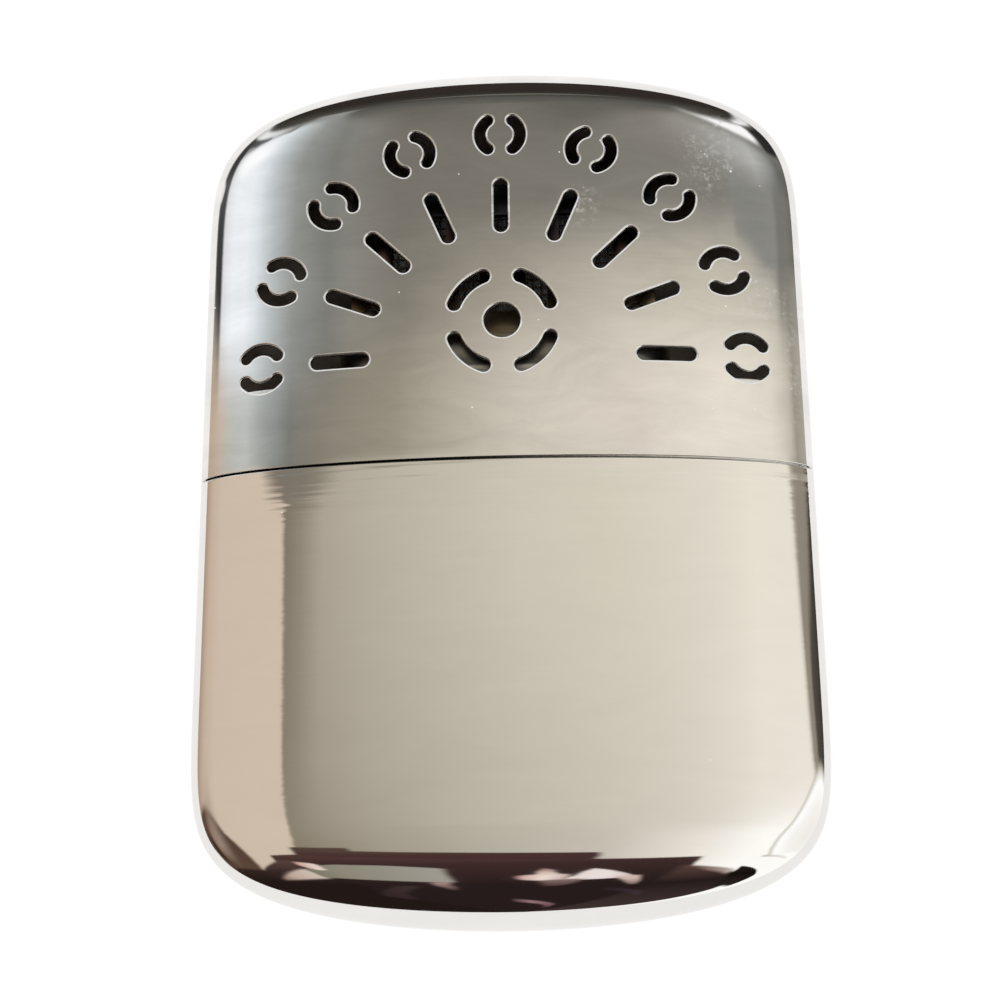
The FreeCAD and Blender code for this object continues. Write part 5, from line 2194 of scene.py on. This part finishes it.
@dataclass
class Studio:
    """A pale floor, soft lamps, a room of cards and the camera.

    The floor has a level for each kind of ray: `matt` for plain lighting, and for what is mirrored and what
    the camera sees how much light it returns (`kept`) and how much it gives off (`glow`).
    """

    floor_size: float = 4.0
    floor_drop: float = 0.03
    matt: float = 0.8
    camera_place: Point = (6.455, -70.539, 212.389)
    camera_right: Point = (0.9992, -0.0105, -0.0379)
    camera_up: Point = (0.0219, 0.9494, 0.3132)
    lens: float = 70.885
    backdrop: float = 1.0
    room_light: float = 0.6
    mirrored_kept: float = 0.2
    mirrored_glow: float = 0.84
    seen_kept: float = 0.22
    seen_glow: float = 0.84
    behind_cards: tuple[int, int, int] = (226, 223, 217)
    lamps: tuple[Lamp, ...] = (Lamp("key_lamp", (-0.5, -0.3, 1.1), 0.9, 5.0),
                               Lamp("fill_lamp", (0.8, 0.2, 0.9), 0.8, 2.5))

    def build(self) -> None:
        """Set up everything round the warmer."""
        self.set_camera()
        self.lay_floor()
        for lamp in self.lamps:
            lamp.hang()
        self.paint_room()
        bpy.context.scene.view_settings.view_transform = "Standard"

    def set_camera(self) -> None:
        """Place the camera over the warmer, a little towards the tank's end."""
        data = bpy.data.cameras.new("camera")
        data.lens = self.lens
        data.clip_start, data.clip_end = 0.005, 20.0
        camera = add_object("camera", data)
        right = Vector(self.camera_right).normalized()
        back = right.cross(Vector(self.camera_up)).normalized()
        up = back.cross(right)
        turned = Matrix((right, up, back)).transposed().to_4x4()
        camera.matrix_world = Matrix.Translation(Vector(self.camera_place) * MM) @ turned
        bpy.context.scene.camera = camera

    def lay_floor(self) -> None:
        """A plain pale floor that the camera and mirrors see as nearly white."""
        half, height = self.floor_size / 2, -self.floor_drop * MM
        mesh = bpy.data.meshes.new("floor")
        mesh.from_pydata([(across * half, along * half, height)
                          for across, along in ((-1, -1), (1, -1), (1, 1), (-1, 1))], [], [(0, 1, 2, 3)])
        floor = add_object("floor", mesh)
        material = bpy.data.materials.new("floor_paint")
        material.use_nodes = True
        material.cycles.emission_sampling = "NONE"
        material.node_tree.nodes.clear()
        graph = Graph(material.node_tree)
        path = graph.node("LightPath")
        mirrored = graph.math("MAXIMUM", path.outputs["Is Glossy Ray"], path.outputs["Is Transmission Ray"])
        shade = graph.node("BsdfDiffuse", {"Color": solid((self.matt,) * 3)}).outputs[0]
        for rays, kept, glow in ((mirrored, self.mirrored_kept, self.mirrored_glow),
                                 (path.outputs["Is Camera Ray"], self.seen_kept, self.seen_glow)):
            faint = graph.node("BsdfDiffuse", {"Color": solid((kept,) * 3)}).outputs[0]
            light = graph.node("Emission", {"Color": solid((1.0, 1.0, 1.0)), "Strength": glow}).outputs[0]
            bright = graph.node("AddShader", {0: faint, 1: light}).outputs[0]
            shade = graph.node("MixShader", {0: rays, 1: shade, 2: bright}).outputs[0]
        graph.node("OutputMaterial", {"Surface": shade})
        mesh.materials.append(material)

    def paint_room(self) -> None:
        """Lay the cards over each other for mirrors to show; all else is lit by a plain pale room."""
        world = bpy.data.worlds.new("room")
        bpy.context.scene.world = world
        world.use_nodes = True
        world.node_tree.nodes.clear()
        graph = Graph(world.node_tree)
        direction = graph.node("TexCoord").outputs["Generated"]
        turn = graph.math("ARCTAN2", graph.part(direction, 0), graph.part(direction, 2))
        turn = graph.math("DEGREES", turn)
        reach = graph.times(graph.part(direction, 1), 100.0)
        colour: object = solid(radiance(self.behind_cards))
        for card in (*ROOM_CARDS, *TABLE_CARDS, *FAR_CARDS):
            colour = card.add_to(graph, turn, reach, colour)
        path = graph.node("LightPath")
        cards = graph.node("Background", {"Color": colour}).outputs[0]
        level = graph.ease(path.outputs["Is Camera Ray"], 0.0, 1.0, self.room_light, self.backdrop, "LINEAR")
        plain = graph.node("Background", {"Color": solid((1.0, 1.0, 1.0)), "Strength": level}).outputs[0]
        both = graph.node("MixShader", {0: path.outputs["Is Glossy Ray"], 1: plain, 2: cards}).outputs[0]
        graph.node("OutputWorld", {"Surface": both})
        world.cycles.sampling_method = "NONE"


# ----- The whole warmer -----

CAP_FORM = OvalForm(tip=49.1, inward=-1.0, reach=29.9, squareness=6.25, end_depth=6.5)
TANK_FORM = OvalForm(tip=-49.1, inward=1.0, reach=32.3, squareness=6.9, end_depth=10.0)

# In metres, as in BrightPlate and DullMetal.
SCUFFS = (((0.0238, 0.0362, 0.0120), (0.0040, 0.0052)), ((0.0318, 0.0110, 0.0093), (0.0016, 0.0100)),
          ((0.0285, 0.0195, 0.0107), (0.0030, 0.0036)), ((0.0090, 0.0300, 0.0138), (0.0026, 0.0030)))
# Painted light on the burner's base where it shows through the cap's vents: levels above 1 are painted
# highlight, below 1 painted shade.
BASE_LIGHT_BANDS = ((0.0108, 0.8), (0.0112, 1.6), (0.0115, 0.35), (0.0122, 0.4), (0.0130, 1.0), (0.0144, 1.0),
             (0.0149, 1.9), (0.0166, 1.9), (0.0172, 0.8))


class Warmer:
    """The hand warmer's sub-assemblies and their finishes."""

    def __init__(self) -> None:
        """Mix the finishes."""
        effects = Effects()
        self.cap_plate = BrightPlate("cap_plate_finish", smudged=0.085, sideways=0.008, endways=0.005,
                                     scuffed=SCUFFS).material(effects)
        self.tank_plate = BrightPlate("tank_plate_finish", smudged=0.02, roughness=0.02, rougher=0.045,
                                      sideways=0.013, dust=0.0015, rubbed=6.0).material(effects)
        # The vent lips carry a painted highlight and painted shade.
        self.lip_plate = LipPlate("vent_lip_finish").material(effects)
        self.inside_plate = DullMetal("shell_inside_finish", (0.46, 0.42, 0.39), (0.28, 0.24, 0.21),
                                      roughness=0.5).material(effects)
        # The collar's dark band at the seam is painted shade in the gap between cap and tank.
        self.collar_plate = BrightPlate("collar_plate_finish", colour=(0.86, 0.85, 0.83), roughness=0.09,
                                        rougher=0.2, endways=0.05,
                                        seam_shade=(0.0, 0.0006, 0.026)).material(effects)
        self.neck_metal = DullMetal("neck_metal_finish", (0.72, 0.60, 0.38), (0.52, 0.38, 0.20),
                                    roughness=0.24, patches=220.0).material(effects)
        self.burner_metal = DullMetal("burner_metal_finish", (0.34, 0.33, 0.32), (0.21, 0.19, 0.16),
                                      roughness=0.32, heated=True, light_bands=BASE_LIGHT_BANDS).material(effects)
        self.guard_metal = DullMetal("guard_metal_finish", (0.27, 0.26, 0.25), (0.17, 0.14, 0.12),
                                     roughness=0.34, heated=True).material(effects)
        self.screen_wire = DullMetal("screen_wire_finish", (0.36, 0.33, 0.30), (0.20, 0.17, 0.15),
                                     roughness=0.4, heated=True).material(effects)
        self.rivet_metal = DullMetal("rivet_metal_finish", (0.66, 0.64, 0.60), (0.45, 0.40, 0.34),
                                     roughness=0.28).material(effects)
        self.catalyst = FibreStuff("catalyst_fibre_finish", (0.30, 0.29, 0.28), (0.10, 0.10, 0.10),
                                   scale=1500.0, relief=0.00012, sheen=0.2, tangle=0.3).material(effects)
        self.cotton = FibreStuff("cotton_finish", (0.86, 0.84, 0.79), (0.66, 0.62, 0.54), scale=700.0,
                                 relief=0.0003, sheen=0.5, tangle=1.2).material(effects)
        self.felt = FibreStuff("felt_finish", (0.80, 0.76, 0.67), (0.58, 0.53, 0.43), scale=1100.0,
                               relief=0.0002, sheen=0.4).material(effects)

    def build_shells(self) -> None:
        """The cap and the tank."""
        VentedCap("cap", "cap_shell", CAP_FORM, mouth=0.1, body=Body.CAP, slot="cap_plate").build(
            self.cap_plate, self.inside_plate, self.lip_plate)
        DrawnShell("tank", "tank_shell", TANK_FORM, mouth=-0.1, body=Body.TANK, slot="tank_plate",
                   edge_radius=0.15).build(self.tank_plate, self.inside_plate)

    def build_tank_fittings(self) -> None:
        """The collar, the neck and what holds the fuel."""
        Collar().build(self.collar_plate)
        FillerNeck().build(self.neck_metal)
        SoftBlock("wick", "neck_wick", low=(-17.3, 8.75, 3.1), high=(17.3, 13.7, 10.9), radius=1.6,
                  spacing=0.45, lumps=0.14, lump_size=1.2, body=Body.TANK, slot="felt",
                  fill=0.6).build(self.felt)
        TankWad("lower_wad", "lower_wadding", TANK_FORM.drawn_in(0.8), foot=-49.1,
                top=-6.4).build(self.cotton)
        TankWad("upper_wad", "upper_wadding", TANK_FORM.drawn_in(1.33), foot=-6.1,
                top=8.45).build(self.cotton)

    def build_burner(self) -> None:
        """The burner, from its base up."""
        EasedPart("base", "burner_base", "burner_metal", ease=0.14).build(self.burner_metal)
        EasedPart("frame_strip", "burner_frame", "burner_metal", ease=0.08).build(self.burner_metal)
        SoftBlock("mat", "catalyst_mat", low=(-13.3, 16.06, 4.9), high=(13.3, 33.06, 9.1), radius=1.2,
                  spacing=0.42, lumps=0.16, lump_size=1.5, body=Body.BURNER, slot="catalyst_fibre",
                  fill=0.8).build(self.catalyst)
        WovenScreen("front_screen", "burner_screen_front", middle=9.45).build(self.screen_wire)
        WovenScreen("rear_screen", "burner_screen_rear", middle=4.55).build(self.screen_wire)
        EasedPart("front_guard", "burner_guard_front", "guard_metal", ease=0.11).build(self.guard_metal)
        EasedPart("rear_guard", "burner_guard_rear", "guard_metal", ease=0.11).build(self.guard_metal)
        Rivets().build(self.rivet_metal)


def main() -> None:
    """Build the studio and the warmer."""
    logging.basicConfig(level=logging.INFO, format="%(message)s", stream=sys.stdout)
    Studio().build()
    warmer = Warmer()
    warmer.build_shells()
    warmer.build_tank_fittings()
    warmer.build_burner()


if __name__ == "__main__":
    main()
